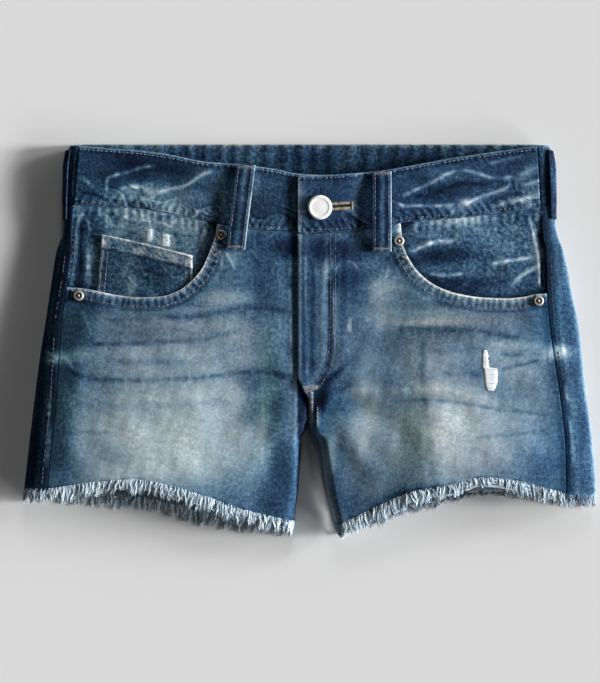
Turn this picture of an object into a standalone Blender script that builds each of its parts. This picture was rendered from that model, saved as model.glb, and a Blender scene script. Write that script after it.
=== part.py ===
"""Denim shorts with frayed hems, lying flat on a table, front side up.

The row frame is +X to the right of the front as seen from above, +Y towards
the waist and +Z up from the table, with the origin under the middle of the
garment's box. The back layer lies on the table, folds up round each side and
meets the front layer at a side seam that sits a little way in on the front.
Sizes below are millimetres of the real garment; MM turns them into metres.
Names ending in _l and _r are at -X and +X.
"""

import math
import random
from collections import namedtuple

import bmesh
import bpy
from mathutils import Vector

for leftover in list(bpy.data.objects):
    bpy.data.objects.remove(leftover, do_unlink=True)

MM = 0.001

# Cloth and gaps
DENIM = 1.2  # one layer of denim
BAND = 2.0  # waistband, two layers pressed together
LOOP = 1.2  # belt loop strap
SEAM = 0.7  # air between two pieces at a seam

# Height of the outer face of the front layer over the table, across one half:
# at the side fold, in the middle of the half, and at the centre line or inseam.
HeightRow = namedtuple("HeightRow", "y side mid inner")
HEIGHTS = [
    HeightRow(146, 12.0, 13.6, 13.6),
    HeightRow(98, 12.0, 14.2, 14.6),
    HeightRow(40, 13.4, 16.2, 15.0),
    HeightRow(0, 15.2, 17.4, 14.4),
    HeightRow(-36, 16.4, 18.2, 12.8),
    HeightRow(-56, 16.8, 18.8, 9.4),
    HeightRow(-68, 17.0, 19.2, 4.8),
    HeightRow(-82, 17.2, 19.6, 2.1),
    HeightRow(-112, 17.2, 20.2, 2.0),
    HeightRow(-142, 17.0, 19.6, 2.0),
]

# Side fold: distance from the centre line of the outermost cloth, and of the
# side seam on the front layer.
SideRow = namedtuple("SideRow", "y edge seam")
SIDE_L = [
    SideRow(145, 170.5, 166.2),
    SideRow(141, 173.2, 166.5),
    SideRow(136.8, 175.2, 166.8),
    SideRow(126, 175.9, 167.7),
    SideRow(100, 176.2, 169.8),
    SideRow(86, 177.3, 170.6),
    SideRow(78, 178.2, 171.0),
    SideRow(66, 182.6, 171.4),
    SideRow(44.6, 186.1, 174.0),
    SideRow(15.8, 190.4, 178.4),
    SideRow(-13, 194.8, 180.2),
    SideRow(-41.8, 198.4, 181.8),
    SideRow(-77.8, 202.7, 185.4),
    SideRow(-106.6, 206.0, 188.3),
]
SIDE_R = [
    SideRow(145, 170.5, 163.8),
    SideRow(141, 173.0, 164.0),
    SideRow(136.8, 175.0, 164.2),
    SideRow(126, 175.9, 164.8),
    SideRow(100, 176.4, 166.2),
    SideRow(86, 177.6, 167.0),
    SideRow(78, 179.0, 167.4),
    SideRow(64.8, 184.0, 169.9),
    SideRow(41, 188.6, 170.6),
    SideRow(15.8, 193.6, 172.2),
    SideRow(-13, 196.9, 176.0),
    SideRow(-41.8, 200.0, 180.2),
    SideRow(-77.8, 204.6, 183.6),
    SideRow(-106.6, 206.6, 184.0),
]

# Lines across the garment, by distance d from the centre line: top edge and
# lower seam of the front waistband, cloth edge of the front and back hems.
AcrossRow = namedtuple("AcrossRow", "d top seam hem back_hem")
ACROSS_L = [
    AcrossRow(-20, 119.6, 79.8, -131.5, -134.0),
    AcrossRow(10, 121.3, 79.8, -130.2, -133.2),
    AcrossRow(25, 124.3, 80.0, -127.0, -131.4),
    AcrossRow(50, 127.7, 82.0, -120.5, -128.0),
    AcrossRow(75, 129.5, 87.2, -111.5, -124.2),
    AcrossRow(100, 134.2, 92.3, -104.0, -117.8),
    AcrossRow(125, 137.7, 96.6, -99.6, -113.5),
    AcrossRow(150, 139.6, 97.7, -101.2, -110.6),
    AcrossRow(170, 141.0, 98.5, -103.8, -108.5),
    AcrossRow(190, 141.2, 98.6, -106.4, -107.2),
    AcrossRow(210, 141.2, 98.6, -106.4, -106.6),
]
ACROSS_R = [
    AcrossRow(-20, 119.4, 77.6, -136.5, -136.6),
    AcrossRow(10, 119.9, 78.4, -136.0, -136.2),
    AcrossRow(25, 120.7, 79.2, -130.7, -133.0),
    AcrossRow(50, 122.9, 82.0, -118.8, -124.5),
    AcrossRow(75, 127.1, 87.3, -108.2, -117.0),
    AcrossRow(100, 131.7, 88.7, -103.6, -111.6),
    AcrossRow(125, 135.5, 91.5, -98.2, -109.0),
    AcrossRow(150, 138.9, 94.6, -100.9, -108.4),
    AcrossRow(170, 141.2, 97.0, -106.0, -109.2),
    AcrossRow(190, 141.4, 97.2, -110.2, -110.4),
    AcrossRow(210, 141.4, 97.2, -110.8, -110.8),
]

# Back waist seam and back yoke seam: V of the yoke in the middle of the back.
BackRow = namedtuple("BackRow", "d top waist yoke")
BACK = [
    BackRow(0, 143.2, 102.0, 46.0),
    BackRow(40, 143.2, 101.8, 52.0),
    BackRow(90, 143.2, 101.2, 60.0),
    BackRow(140, 143.2, 100.2, 66.5),
    BackRow(165, 143.2, 99.0, 69.0),
    BackRow(210, 142.4, 98.6, 70.0),
]

# Inner edge of each front panel: the fly down to its end, the front rise down
# to the crotch, then the inseam of the leg.
InnerRow = namedtuple("InnerRow", "y left right")
INNER = [
    InnerRow(90, 9.0, -8.5),
    InnerRow(-24, 9.0, -8.5),
    InnerRow(-34, 3.6, -4.6),
    InnerRow(-42, -2.3, -0.9),
    InnerRow(-58, -1.9, -1.1),
    InnerRow(-63, -2.1, -0.9),
    InnerRow(-70, -6.4, 6.2),
    InnerRow(-86, -6.7, 9.2),
    InnerRow(-105, -7.9, 12.0),
    InnerRow(-119, -9.6, 15.0),
    InnerRow(-140, -11.4, 20.0),
]

# Front pocket mouth: the edge of the front panel, and how far down the facing
# behind it runs.
MouthRow = namedtuple("MouthRow", "d y facing")
MOUTH_L = [
    MouthRow(60.0, 99.0, 66.0),
    MouthRow(66.5, 84.4, 60.0),
    MouthRow(67.9, 76.2, 57.0),
    MouthRow(71.9, 64.9, 50.0),
    MouthRow(76.8, 53.6, 42.0),
    MouthRow(84.8, 44.0, 32.0),
    MouthRow(94.5, 36.8, 26.0),
    MouthRow(107.3, 32.8, 22.0),
    MouthRow(123.4, 32.2, 21.5),
    MouthRow(139.5, 34.0, 23.0),
    MouthRow(153.1, 36.8, 26.0),
    MouthRow(163.6, 38.6, 28.0),
    MouthRow(176.0, 39.6, 29.0),
]
MOUTH_R = [
    MouthRow(60.0, 100.0, 62.0),
    MouthRow(65.4, 84.6, 56.0),
    MouthRow(66.6, 72.0, 54.0),
    MouthRow(71.8, 59.2, 45.0),
    MouthRow(79.7, 48.7, 36.0),
    MouthRow(91.9, 39.9, 28.0),
    MouthRow(106.7, 34.7, 24.0),
    MouthRow(124.2, 32.1, 21.5),
    MouthRow(141.6, 31.4, 21.0),
    MouthRow(154.7, 32.6, 22.0),
    MouthRow(161.7, 34.2, 24.0),
    MouthRow(176.0, 35.6, 26.0),
]
FACING_DROP_L = 2.9  # facing sinks this far below the front panel at the mouth
FACING_DROP_R = 1.7

# Soft folds of the front layer: ridges where rise is over 0, troughs under 0.
FoldRow = namedtuple("FoldRow", "x y angle length width rise")
FOLDS = [
    FoldRow(-96, 20, -9, 62, 9, 1.0),
    FoldRow(-100, -2, -6, 70, 10, -0.9),
    FoldRow(-92, -24, 5, 58, 11, 1.1),
    FoldRow(-40, -44, 32, 34, 10, -1.3),
    FoldRow(-30, -72, 58, 30, 8, 0.9),
    FoldRow(92, 12, 9, 60, 10, -1.0),
    FoldRow(100, -10, 4, 66, 11, 1.1),
    FoldRow(88, -40, -6, 54, 10, -0.9),
    FoldRow(38, -46, -34, 34, 10, -1.3),
    FoldRow(34, -76, -60, 30, 8, 0.9),
    FoldRow(-126, -70, 78, 44, 14, 0.8),
    FoldRow(128, -66, -80, 44, 14, 0.8),
    FoldRow(-70, 112, 8, 40, 8, 0.6),
    FoldRow(96, 116, -16, 34, 7, 0.7),
    FoldRow(118, 104, 14, 34, 7, -0.6),
]

# Back waistband gathers
GATHER_PITCH = 11.5
GATHER_DEPTH = 0.9


def clamp(value, low=0.0, high=1.0):
    return max(low, min(high, value))


def mix(a, b, share):
    return a + (b - a) * share


def smooth(share):
    """0 to 1 with level ends."""
    share = clamp(share)
    return share * share * (3.0 - 2.0 * share)


def read(table, key, column, at):
    """The value of a table column at a key, on a curve that never overshoots its rows."""
    rows = sorted(table, key=lambda row: getattr(row, key))
    keys = [getattr(row, key) for row in rows]
    values = [getattr(row, column) for row in rows]
    at = clamp(at, keys[0], keys[-1])
    i = 0
    while i < len(keys) - 2 and at > keys[i + 1]:
        i += 1
    steps = [(values[k + 1] - values[k]) / (keys[k + 1] - keys[k]) for k in range(len(keys) - 1)]

    def slope(k):
        if k == 0:
            return steps[0]
        if k == len(keys) - 1:
            return steps[-1]
        if steps[k - 1] * steps[k] <= 0:
            return 0.0
        return 2.0 * steps[k - 1] * steps[k] / (steps[k - 1] + steps[k])

    span = keys[i + 1] - keys[i]
    t = (at - keys[i]) / span
    a = (2 * t**3 - 3 * t**2 + 1) * values[i] + (t**3 - 2 * t**2 + t) * span * slope(i)
    b = (3 * t**2 - 2 * t**3) * values[i + 1] + (t**3 - t**2) * span * slope(i + 1)
    return a + b


class Half:
    """The sizes of one half of the garment, with side -1 for _l and +1 for _r."""

    def __init__(self, side, name, sides, across, mouth, drop):
        self.side = side
        self.name = name
        self.sides = sides
        self.across = across
        self.mouth = mouth
        self.drop = drop
        self.inner_column = "left" if side < 0 else "right"

    def line(self, column, d):
        return read(self.across, "d", column, d)

    def edge(self, y):
        return read(self.sides, "y", "edge", y)

    def seam(self, y):
        return read(self.sides, "y", "seam", y)

    def inner(self, y):
        """Distance from the centre line of the front panel's inner edge, under 0 where it crosses."""
        return self.side * read(INNER, "y", self.inner_column, y)

    def leg(self, y):
        """Distance from the centre line of the inseam, or 0 above the crotch."""
        return max(0.0, self.inner(y)) if y < -58 else 0.0


LEFT = Half(-1, "l", SIDE_L, ACROSS_L, MOUTH_L, FACING_DROP_L)
RIGHT = Half(1, "r", SIDE_R, ACROSS_R, MOUTH_R, FACING_DROP_R)
HALVES = (LEFT, RIGHT)


def folds(x, y):
    """Rise of the front layer's soft folds at a place."""
    total = 0.0
    for row in FOLDS:
        turn = math.radians(row.angle)
        along = (x - row.x) * math.cos(turn) + (y - row.y) * math.sin(turn)
        over = (y - row.y) * math.cos(turn) - (x - row.x) * math.sin(turn)
        reach = (along / row.length) ** 2 + (over / row.width) ** 2
        if reach < 9:
            total += row.rise * math.exp(-reach)
    return total


def front_height(half, x, y):
    """Height of the outer face of the front layer, with no overlap step."""
    d = half.side * x
    near = half.leg(y)
    far = half.seam(y)
    share = clamp((d - near) / (far - near))
    inner = read(HEIGHTS, "y", "inner", y)
    mid = read(HEIGHTS, "y", "mid", y)
    side = read(HEIGHTS, "y", "side", y)
    if share >= 0.5:
        rise = mix(mid, side, smooth((share - 0.5) / 0.5))
    else:
        level = smooth(share / 0.5)
        turn = clamp((d - near) / 6.5)
        round_over = 0.74 * math.sqrt(1.0 - (1.0 - turn) ** 2) + 0.26 * level
        rise = mix(inner, mid, mix(level, round_over, smooth((-36 - y) / 26)))
    edge_fade = smooth((far - d) / 30) * smooth((d - near) / 22)
    if y > -36:
        edge_fade = smooth((far - d) / 30)
    return rise + folds(x, y) * edge_fade


def fly_step(half, x, y):
    """The right front lies over the left one along the fly and the waistband tab."""
    fade = smooth((y + 56) / 14)
    if half.side > 0:
        return 0.85 * smooth((34 - x) / 22) * fade
    return -0.95 * smooth((x + 30) / 18) * fade


def panel_height(half, x, y):
    return front_height(half, x, y) + fly_step(half, x, y)


def band_height(half, x, y):
    """Outer face of the front waistband."""
    step = -1.15 * smooth((x + 32) / 18)
    if half.side > 0:
        step = 1.3 * smooth((46 - x) / 22)
    return front_height(half, x, y) + 0.4 + step


def facing_height(half, x, y):
    """The pocket facing leaves the waist seam level and sinks behind the pocket mouth."""
    d = half.side * x
    waist = half.line("seam", d)
    mouth = read(half.mouth, "d", "y", d)
    share = (waist - y) / max(8.0, waist - mouth)
    beside = (half.mouth[1].d + 9 - d) / 6
    return front_height(half, x, y) - mix(0.2, half.drop, smooth(max(share / 0.5, beside)))


def floor_height(y):
    """Underside of the back layer: on the table at the legs, above the pockets further up."""
    return 1.5 * smooth((y + 84) / 15)


def fold_point(half, y, turn):
    """A point of the side fold: turn 0 where it leaves the table, 1 at the side seam."""
    low = floor_height(y)
    high = read(HEIGHTS, "y", "side", y)
    middle = (low + high) / 2
    edge = half.edge(y)
    if turn < 0.5:
        angle = math.pi * turn
        d = edge - FOLD_FOOT + FOLD_FOOT * math.sin(angle)
        z = middle - (middle - low) * math.cos(angle)
    else:
        angle = math.pi * (turn - 0.5)
        reach = edge - half.seam(y) - SEAM / 2
        d = edge - reach + reach * math.cos(angle)
        z = middle + (high - middle) * math.sin(angle)
    return Vector((half.side * d, y, z))


FOLD_FOOT = 9.0


def sheet(name, rows, thickness, material, flip=False):
    """A cloth piece: a grid of outer points, made solid inwards."""
    mesh = bpy.data.meshes.new(name)
    points = [Vector(p) * MM for row in rows for p in row]
    wide = len(rows[0])
    faces = []
    for j in range(len(rows) - 1):
        for i in range(wide - 1):
            a = j * wide + i
            quad = (a, a + wide, a + wide + 1, a + 1)
            faces.append(tuple(reversed(quad)) if flip else quad)
    mesh.from_pydata(points, [], faces)
    mesh.update()
    thing = finish(name, mesh, material)
    solid = thing.modifiers.new("Thickness", "SOLIDIFY")
    solid.thickness = thickness * MM
    solid.offset = -1.0
    solid.use_even_offset = True
    solid.use_quality_normals = True
    return thing


def finish(name, mesh, material):
    for face in mesh.polygons:
        face.use_smooth = True
    mesh.materials.append(material)
    thing = bpy.data.objects.new(name, mesh)
    SHORTS.objects.link(thing)
    return thing


def coons(top, bottom, inner, outer, shares_u, shares_v):
    """A grid in plan between four border curves that take a share and return (x, y)."""
    grid = []
    for v in shares_v:
        row = []
        for u in shares_u:
            point = []
            for k in range(2):
                ruled = mix(top(u)[k], bottom(u)[k], v) + mix(inner(v)[k], outer(v)[k], u)
                corners = mix(
                    mix(top(0)[k], top(1)[k], u),
                    mix(bottom(0)[k], bottom(1)[k], u),
                    v,
                )
                point.append(ruled - corners)
            row.append(tuple(point))
        grid.append(row)
    return grid


def material(name, colour, roughness, metallic=0.0):
    made = bpy.data.materials.new(name)
    made.use_nodes = True
    shader = made.node_tree.nodes["Principled BSDF"]
    shader.inputs["Base Color"].default_value = (*colour, 1.0)
    shader.inputs["Roughness"].default_value = roughness
    shader.inputs["Metallic"].default_value = metallic
    return made


SHORTS = bpy.data.collections.new("denim_shorts")
bpy.context.scene.collection.children.link(SHORTS)
CUTTERS = bpy.data.collections.new("cutters")
bpy.context.scene.collection.children.link(CUTTERS)

WASHED = material("washed_denim", (0.105, 0.190, 0.270), 0.85)
DARK = material("dark_denim", (0.030, 0.060, 0.120), 0.88)
FRAY = material("frayed_cotton", (0.46, 0.56, 0.62), 0.9)
METAL = material("pale_metal", (0.62, 0.60, 0.56), 0.32, 1.0)
WHITE = material("button_white_metal", (0.82, 0.82, 0.83), 0.25, 1.0)

# Front panels: shares across are close together at the inseam and at the
# steep start of the pocket mouth.
FRONT_ACROSS = (0, 0.012, 0.036, 0.075, 0.13, 0.2, 0.28, 0.35, 0.405, 0.425, 0.455,
                0.49, 0.55, 0.62, 0.70, 0.79, 0.88, 0.95, 1)
FRONT_DOWN = (0, 0.13, 0.26, 0.39, 0.5, 0.545, 0.585, 0.64, 0.676, 0.704, 0.76, 0.82,
              0.88, 0.94, 1)


def front_panel(half):
    s = half.side
    start = half.inner(78)
    corner = half.mouth[1].d - 0.6
    turn = 0.415

    def top(u):
        if u <= turn:
            d = mix(start, corner, u / turn)
            return s * d, half.line("seam", d) - SEAM / 2
        share = (u - turn) / (1 - turn)
        d = mix(corner, half.seam(38) - SEAM / 2, share**1.25)
        return s * d, min(read(half.mouth, "d", "y", d), half.line("seam", d) - SEAM / 2)

    def bottom(u):
        low = half.inner(-131 if s < 0 else -136)
        d = mix(low, half.seam(-106) - SEAM / 2, u)
        return s * d, half.line("hem", d)

    top_inner = top(0)[1]
    low_inner = bottom(0)[1]
    top_outer = top(1)[1]
    low_outer = bottom(1)[1]

    def inner(v):
        y = mix(top_inner, low_inner, v)
        return s * half.inner(y), y

    def outer(v):
        y = mix(top_outer, low_outer, v)
        return s * (half.seam(y) - SEAM / 2), y

    grid = coons(top, bottom, inner, outer, FRONT_ACROSS, FRONT_DOWN)
    rows = [[(x, y, panel_height(half, x, y)) for x, y in row] for row in grid]
    thing = sheet("front_panel_" + half.name, rows, DENIM, WASHED, flip=s < 0)
    return thing, rows


def across_strip(half, near, far, count, above, below, downs, height):
    """Rows of a piece that runs across the front, between two lines of y by distance."""
    rows = []
    for v in downs:
        row = []
        for i in range(count + 1):
            d = mix(near, far, i / count)
            y = mix(above(d), below(d), v)
            d = min(d, half.seam(y) - SEAM / 2)
            row.append((half.side * d, y, height(half, half.side * d, y)))
        rows.append(row)
    return rows


def pocket_facing(half):
    far = half.seam(60) + 3
    rows = across_strip(
        half, 57.0, far, 11,
        lambda d: half.line("seam", d) - SEAM / 2,
        lambda d: read(half.mouth, "d", "facing", d),
        (0, 0.2, 0.4, 0.6, 0.8, 1), facing_height,
    )
    return sheet("pocket_facing_" + half.name, rows, 1.0, DARK, flip=half.side < 0)


# Coin pocket on the left facing: corners in plan.
CoinRow = namedtuple("CoinRow", "d top low")
COIN = [
    CoinRow(84.2, 62.3, 42.0),
    CoinRow(92.0, 64.2, 36.2),
    CoinRow(104.0, 67.2, 31.0),
    CoinRow(116.0, 70.2, 29.6),
    CoinRow(128.0, 73.0, 30.0),
    CoinRow(140.0, 75.6, 31.4),
    CoinRow(149.4, 77.4, 33.4),
]
COIN_LEAN = 4.0  # outer edge leans out this far towards the bottom


def coin_pocket():
    rows = []
    for v in (0, 0.25, 0.28, 0.6, 1):
        row = []
        for r in COIN:
            lean = COIN_LEAN * v * (r.d - COIN[0].d) / (COIN[-1].d - COIN[0].d)
            x = -(r.d + lean)
            y = mix(r.top, r.low, v)
            band = 0.35 if v < 0.27 else 0.0
            row.append((x, y, facing_height(LEFT, x, y) + 1.25 + band))
        rows.append(row)
    return sheet("coin_pocket", rows, 0.9, DARK, flip=True)


# Front waistband: the right half ends in a tab with rounded corners that lies
# over the left half.
TAB_END = -8.5
TAB_CORNER = 3.5
UNDERLAP = 19.0
BAND_DOWN = (0, 0.07, 0.35, 0.65, 0.93, 1)


def front_band(half):
    near = TAB_END if half.side > 0 else -UNDERLAP
    far = half.seam(98) - SEAM / 2
    shares = [0, 0.012, 0.03, 0.07, 0.13, 0.2, 0.28, 0.36, 0.44, 0.52, 0.6, 0.68, 0.76, 0.84, 0.92, 1]
    rows = []
    for v in BAND_DOWN:
        row = []
        for u in shares:
            d = mix(near, far, u)
            high = half.line("top", d)
            low = half.line("seam", d) + SEAM / 2
            if half.side > 0:
                # Round the two corners of the tab.
                gone = clamp((near + TAB_CORNER - d) / TAB_CORNER)
                cut = TAB_CORNER * (1 - math.sqrt(1 - gone**2))
                high -= cut
                low += cut * 0.5
            y = mix(high, low, v)
            d = mix(near, half.seam(y) - SEAM / 2, u)
            x = half.side * d
            row.append((x, y, band_height(half, x, y)))
        rows.append(row)
    return sheet("waistband_front_" + half.name, rows, BAND, WASHED, flip=half.side < 0)


def back_band():
    """One gathered piece that lies on the table and folds up at both sides."""
    def column(half, turn, v):
        high = read(BACK, "d", "top", 175)
        low = read(BACK, "d", "waist", 175) + SEAM / 2
        y = mix(mix(high, 141.6, smooth(turn)), low, v)
        return tuple(fold_point(half, y, turn))

    turns = (1, 0.88, 0.75, 0.62, 0.5, 0.38, 0.25, 0.12)
    count = 116
    rows = []
    for v in (0, 0.5, 1):
        row = [column(LEFT, turn, v) for turn in turns]
        y_side = mix(143.2, read(BACK, "d", "waist", 165), v)
        left_end = -(LEFT.edge(y_side) - FOLD_FOOT)
        right_end = RIGHT.edge(y_side) - FOLD_FOOT
        for i in range(count + 1):
            x = mix(left_end, right_end, i / count)
            y = mix(read(BACK, "d", "top", abs(x)), read(BACK, "d", "waist", abs(x)) + SEAM / 2, v)
            fade = smooth((160 - abs(x)) / 14)
            wave = 0.5 - 0.5 * math.cos(2 * math.pi * x / GATHER_PITCH)
            lift = GATHER_DEPTH * wave * fade * mix(1.0, 0.35, v)
            row.append((x, y, floor_height(y) + lift))
        row += [column(RIGHT, turn, v) for turn in reversed(turns)]
        rows.append(row)
    return sheet("waistband_back", rows, BAND, DARK, flip=True)


BACK_FLAT = (0, 0.1, 0.25, 0.42, 0.6, 0.8, 1)
BACK_FOLD = (0.12, 0.25, 0.38, 0.5, 0.62, 0.75, 0.88, 1)


def back_sheet(half, name, upper, lower, downs):
    """A back piece from the centre or inseam, over the table, up round the side fold."""
    def inner(y):
        return max(SEAM / 2, half.leg(y - 3) + 1.6) if y < -58 else SEAM / 2

    rows = []
    for v in downs:
        row = []
        for f in BACK_FLAT:
            d_up = mix(inner(upper(0)), half.edge(upper(170)) - FOLD_FOOT, f)
            d_low = mix(inner(lower(0)), half.edge(lower(200)) - FOLD_FOOT, f)
            y = mix(upper(d_up), lower(d_low), v)
            d = mix(inner(y), half.edge(y) - FOLD_FOOT, f)
            row.append((half.side * d, y, floor_height(y)))
        for turn in BACK_FOLD:
            y = mix(upper(205), lower(205), v)
            near_y = row[len(BACK_FLAT) - 1][1]
            y = mix(near_y, y, smooth(turn / 0.5))
            row.append(tuple(fold_point(half, y, turn)))
        rows.append(row)
    thing = sheet(name, rows, DENIM, WASHED, flip=half.side > 0)
    return thing, rows


def back_yoke(half):
    return back_sheet(
        half, "back_yoke_" + half.name,
        lambda d: read(BACK, "d", "waist", d) - SEAM / 2,
        lambda d: read(BACK, "d", "yoke", d) + SEAM / 2,
        (0, 0.5, 1),
    )


def back_panel(half):
    return back_sheet(
        half, "back_panel_" + half.name,
        lambda d: read(BACK, "d", "yoke", d) - SEAM / 2,
        lambda d: half.line("back_hem", d),
        (0, 0.18, 0.36, 0.52, 0.60, 0.635, 0.67, 0.72, 0.80, 0.90, 1),
    )


# Back patch pocket, flat between the table and the back panel.
PocketRow = namedtuple("PocketRow", "d y")
BACK_POCKET = [
    PocketRow(32.0, 41.0),
    PocketRow(88.0, 48.0),
    PocketRow(142.0, 54.0),
    PocketRow(141.0, 4.0),
    PocketRow(137.5, -44.0),
    PocketRow(134.0, -48.0),
    PocketRow(88.0, -65.0),
    PocketRow(44.0, -52.0),
    PocketRow(40.0, -48.0),
    PocketRow(36.0, 4.0),
]


def slab(name, outline, low, high, material_used):
    """A flat piece from its outline in plan."""
    shape = bmesh.new()
    base = [shape.verts.new(Vector((x, y, low)) * MM) for x, y in outline]
    face = shape.faces.new(base)
    grown = bmesh.ops.extrude_face_region(shape, geom=[face])
    for item in grown["geom"]:
        if isinstance(item, bmesh.types.BMVert):
            item.co.z = high * MM
    bmesh.ops.recalc_face_normals(shape, faces=shape.faces[:])
    mesh = bpy.data.meshes.new(name)
    shape.to_mesh(mesh)
    shape.free()
    thing = finish(name, mesh, material_used)
    for polygon in mesh.polygons:
        polygon.use_smooth = False
    return thing


# Belt loops on the front: top and bottom of the centre line of the strap.
LoopRow = namedtuple("LoopRow", "x_top y_top x_low y_low")
LOOP_L = LoopRow(-45.7, 127.2, -53.3, 66.2)
LOOP_R = LoopRow(51.8, 122.6, 51.8, 64.8)
LOOP_WIDE = 14.0
LOOP_SLOT = 2.8  # room for a belt at the middle of the loop


def slot_lift(v):
    """Gap under the strap: down at both ends, lifted between."""
    return 0.35 + LOOP_SLOT * smooth(v / 0.22) * smooth((1 - v) / 0.30)


def front_loop(half, row_of):
    rows = []
    for v in (0, 0.07, 0.15, 0.24, 0.5, 0.66, 0.78, 0.9, 1):
        row = []
        centre_x = mix(row_of.x_top, row_of.x_low, v)
        centre_y = mix(row_of.y_top, row_of.y_low, v)
        for w in (-0.5, 0, 0.5):
            x = centre_x + w * LOOP_WIDE
            y = centre_y
            under = band_height(half, centre_x, y) + folds(x, y) - folds(centre_x, y)
            rest = max(under, band_height(half, x, y))
            row.append((x, y, rest + slot_lift(v) + LOOP))
        rows.append(row)
    return sheet("belt_loop_front_" + half.name, rows, LOOP, WASHED)


SIDE_LOOP_TOP = 138.6
SIDE_LOOP_LOW = 88.6


def side_loop(half):
    """A strap over the side fold, seen edge-on from the front."""
    rows = []
    for v in (0, 0.1, 0.25, 0.5, 0.75, 0.9, 1):
        y = mix(SIDE_LOOP_TOP, SIDE_LOOP_LOW, v)
        lift = 0.35 + 0.9 * smooth(v / 0.3) * smooth((1 - v) / 0.3)
        row = []
        for turn in (0.30, 0.42, 0.54, 0.66, 0.78):
            here = fold_point(half, y, turn)
            ahead = fold_point(half, y, turn + 0.02)
            behind = fold_point(half, y, turn - 0.02)
            along = (ahead - behind).normalized()
            out = Vector((half.side * abs(along.z), 0, -along.x * half.side * math.copysign(1, along.z)))
            row.append(tuple(here + out * (lift + LOOP)))
        rows.append(row)
    return sheet("belt_loop_side_" + half.name, rows, LOOP, DARK, flip=half.side > 0)


# Hem fringe: strands per piece, root size and length.
STRANDS = 36
ROOT_WIDE = 0.56  # share of the pitch that a strand's root takes
FRINGE_THICK = 0.8
STRIP = 2.6
FRINGE_LONG = 8.4


def fringe(name, hem, before, side, seed, spread_down):
    """A narrow strip beside a hem with strands that grow from its outer edge.

    hem holds points of the cloth edge and before the row of points above it, so
    that their difference points out of the cloth along its face.
    """
    chance = random.Random(seed)
    lengths = [0.0]
    for a, b in zip(hem, hem[1:]):
        lengths.append(lengths[-1] + (Vector(b) - Vector(a)).length)
    whole = lengths[-1]

    def at(points, place):
        place = clamp(place, 0, whole)
        i = 0
        while i < len(lengths) - 2 and place > lengths[i + 1]:
            i += 1
        t = (place - lengths[i]) / (lengths[i + 1] - lengths[i])
        return Vector(points[i]).lerp(Vector(points[i + 1]), t)

    pitch = whole / STRANDS
    stations = []
    for k in range(STRANDS):
        root = pitch * ROOT_WIDE * chance.uniform(0.6, 1.2)
        middle = pitch * (k + 0.5 + chance.uniform(-0.14, 0.14))
        stations += [middle - root / 2, middle + root / 2]
    stations = [0.3] + stations + [whole - 0.3]

    shape = bmesh.new()
    rings = []
    for place in stations:
        edge = at(hem, place)
        out = (edge - at(before, place)).normalized()
        along = (at(hem, place + 1.5) - at(hem, place - 1.5)).normalized()
        face = along.cross(out).normalized() * side
        low = edge - face * 1.05
        near = edge - face * (1.05 - FRINGE_THICK)
        ring = [low + out * SEAM, near + out * SEAM, near + out * (SEAM + STRIP), low + out * (SEAM + STRIP)]
        rings.append(([shape.verts.new(p * MM) for p in ring], out, along, face))

    for k in range(len(rings) - 1):
        (a, out, along, face), (b, *_rest) = rings[k], rings[k + 1]
        for i, j in ((0, 1), (1, 2), (3, 0)):
            shape.faces.new((a[i], a[j], b[j], b[i]))
        strand = k % 2 == 1
        if not strand:
            shape.faces.new((a[2], a[3], b[3], b[2]))
            continue
        root = [a[2], a[3], b[3], b[2]]
        spots = [v.co / MM for v in root]
        centre = sum(spots, Vector()) / 4
        long = FRINGE_LONG * chance.uniform(0.55, 1.1)
        sway = along * chance.uniform(-3.0, 3.0)
        drop = face * chance.uniform(-0.4, 0.8) if not spread_down else face * chance.uniform(-1.2, 0.6)
        levels = ((1.0, 0.42, 1.0),)
        if chance.random() < 0.6:
            levels = ((0.45, 0.8, 0.2), (1.0, 0.4, 1.0))
        last = root
        for share, size, bend in levels:
            middle = centre + out * long * share + (sway + drop) * bend
            middle.z = max(middle.z, 0.55)
            ring = []
            for spot in spots:
                point = middle + (spot - centre) * size
                point.z = max(point.z, 0.14)
                ring.append(shape.verts.new(point * MM))
            for i in range(4):
                j = (i + 1) % 4
                shape.faces.new((last[i], last[j], ring[j], ring[i]))
            last = ring
        shape.faces.new(last)
    shape.faces.new(rings[0][0])
    shape.faces.new(rings[-1][0])
    bmesh.ops.recalc_face_normals(shape, faces=shape.faces[:])
    mesh = bpy.data.meshes.new(name)
    shape.to_mesh(mesh)
    shape.free()
    return finish(name, mesh, FRAY)


def lathe(name, profile, place, material_used, steps, lean=(0.0, 0.0)):
    """A round piece from (radius, height) pairs that run from the top down the outside."""
    mesh = bpy.data.meshes.new(name)
    points = [Vector((r, 0, z)) * MM for r, z in profile]
    mesh.from_pydata(points, [(i, i + 1) for i in range(len(points) - 1)], [])
    mesh.update()
    thing = finish(name, mesh, material_used)
    thing.location = Vector(place) * MM
    thing.rotation_euler = (lean[0], lean[1], 0)
    turn = thing.modifiers.new("Turn", "SCREW")
    turn.axis = "Z"
    turn.angle = math.tau
    turn.screw_offset = 0
    turn.steps = steps
    turn.render_steps = steps
    turn.use_merge_vertices = True
    turn.merge_threshold = 0.00001
    turn.use_smooth_shade = True
    return thing


RIVET = [(0, 1.5), (1.3, 1.45), (1.7, 1.0), (2.7, 1.15), (3.7, 0.9), (4.0, 0.3), (3.6, 0.0), (0, 0.0)]
RivetRow = namedtuple("RivetRow", "name x y")
RIVETS = [
    RivetRow("rivet_top_l", -63.5, 77.0),
    RivetRow("rivet_low_l", -166.0, 33.4),
    RivetRow("rivet_top_r", 64.2, 72.7),
    RivetRow("rivet_low_r", 164.6, 29.6),
]

# Shank button and its buttonhole in the tab
BUTTON_X = 7.4
BUTTON_Y = 96.6
BUTTON_R = 8.8
SHANK_R = 1.9
EYE_R = 2.7
HOLE_END_X = 29.5
HOLE_Y_END = 98.2
HOLE_WIDE = 1.5


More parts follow.
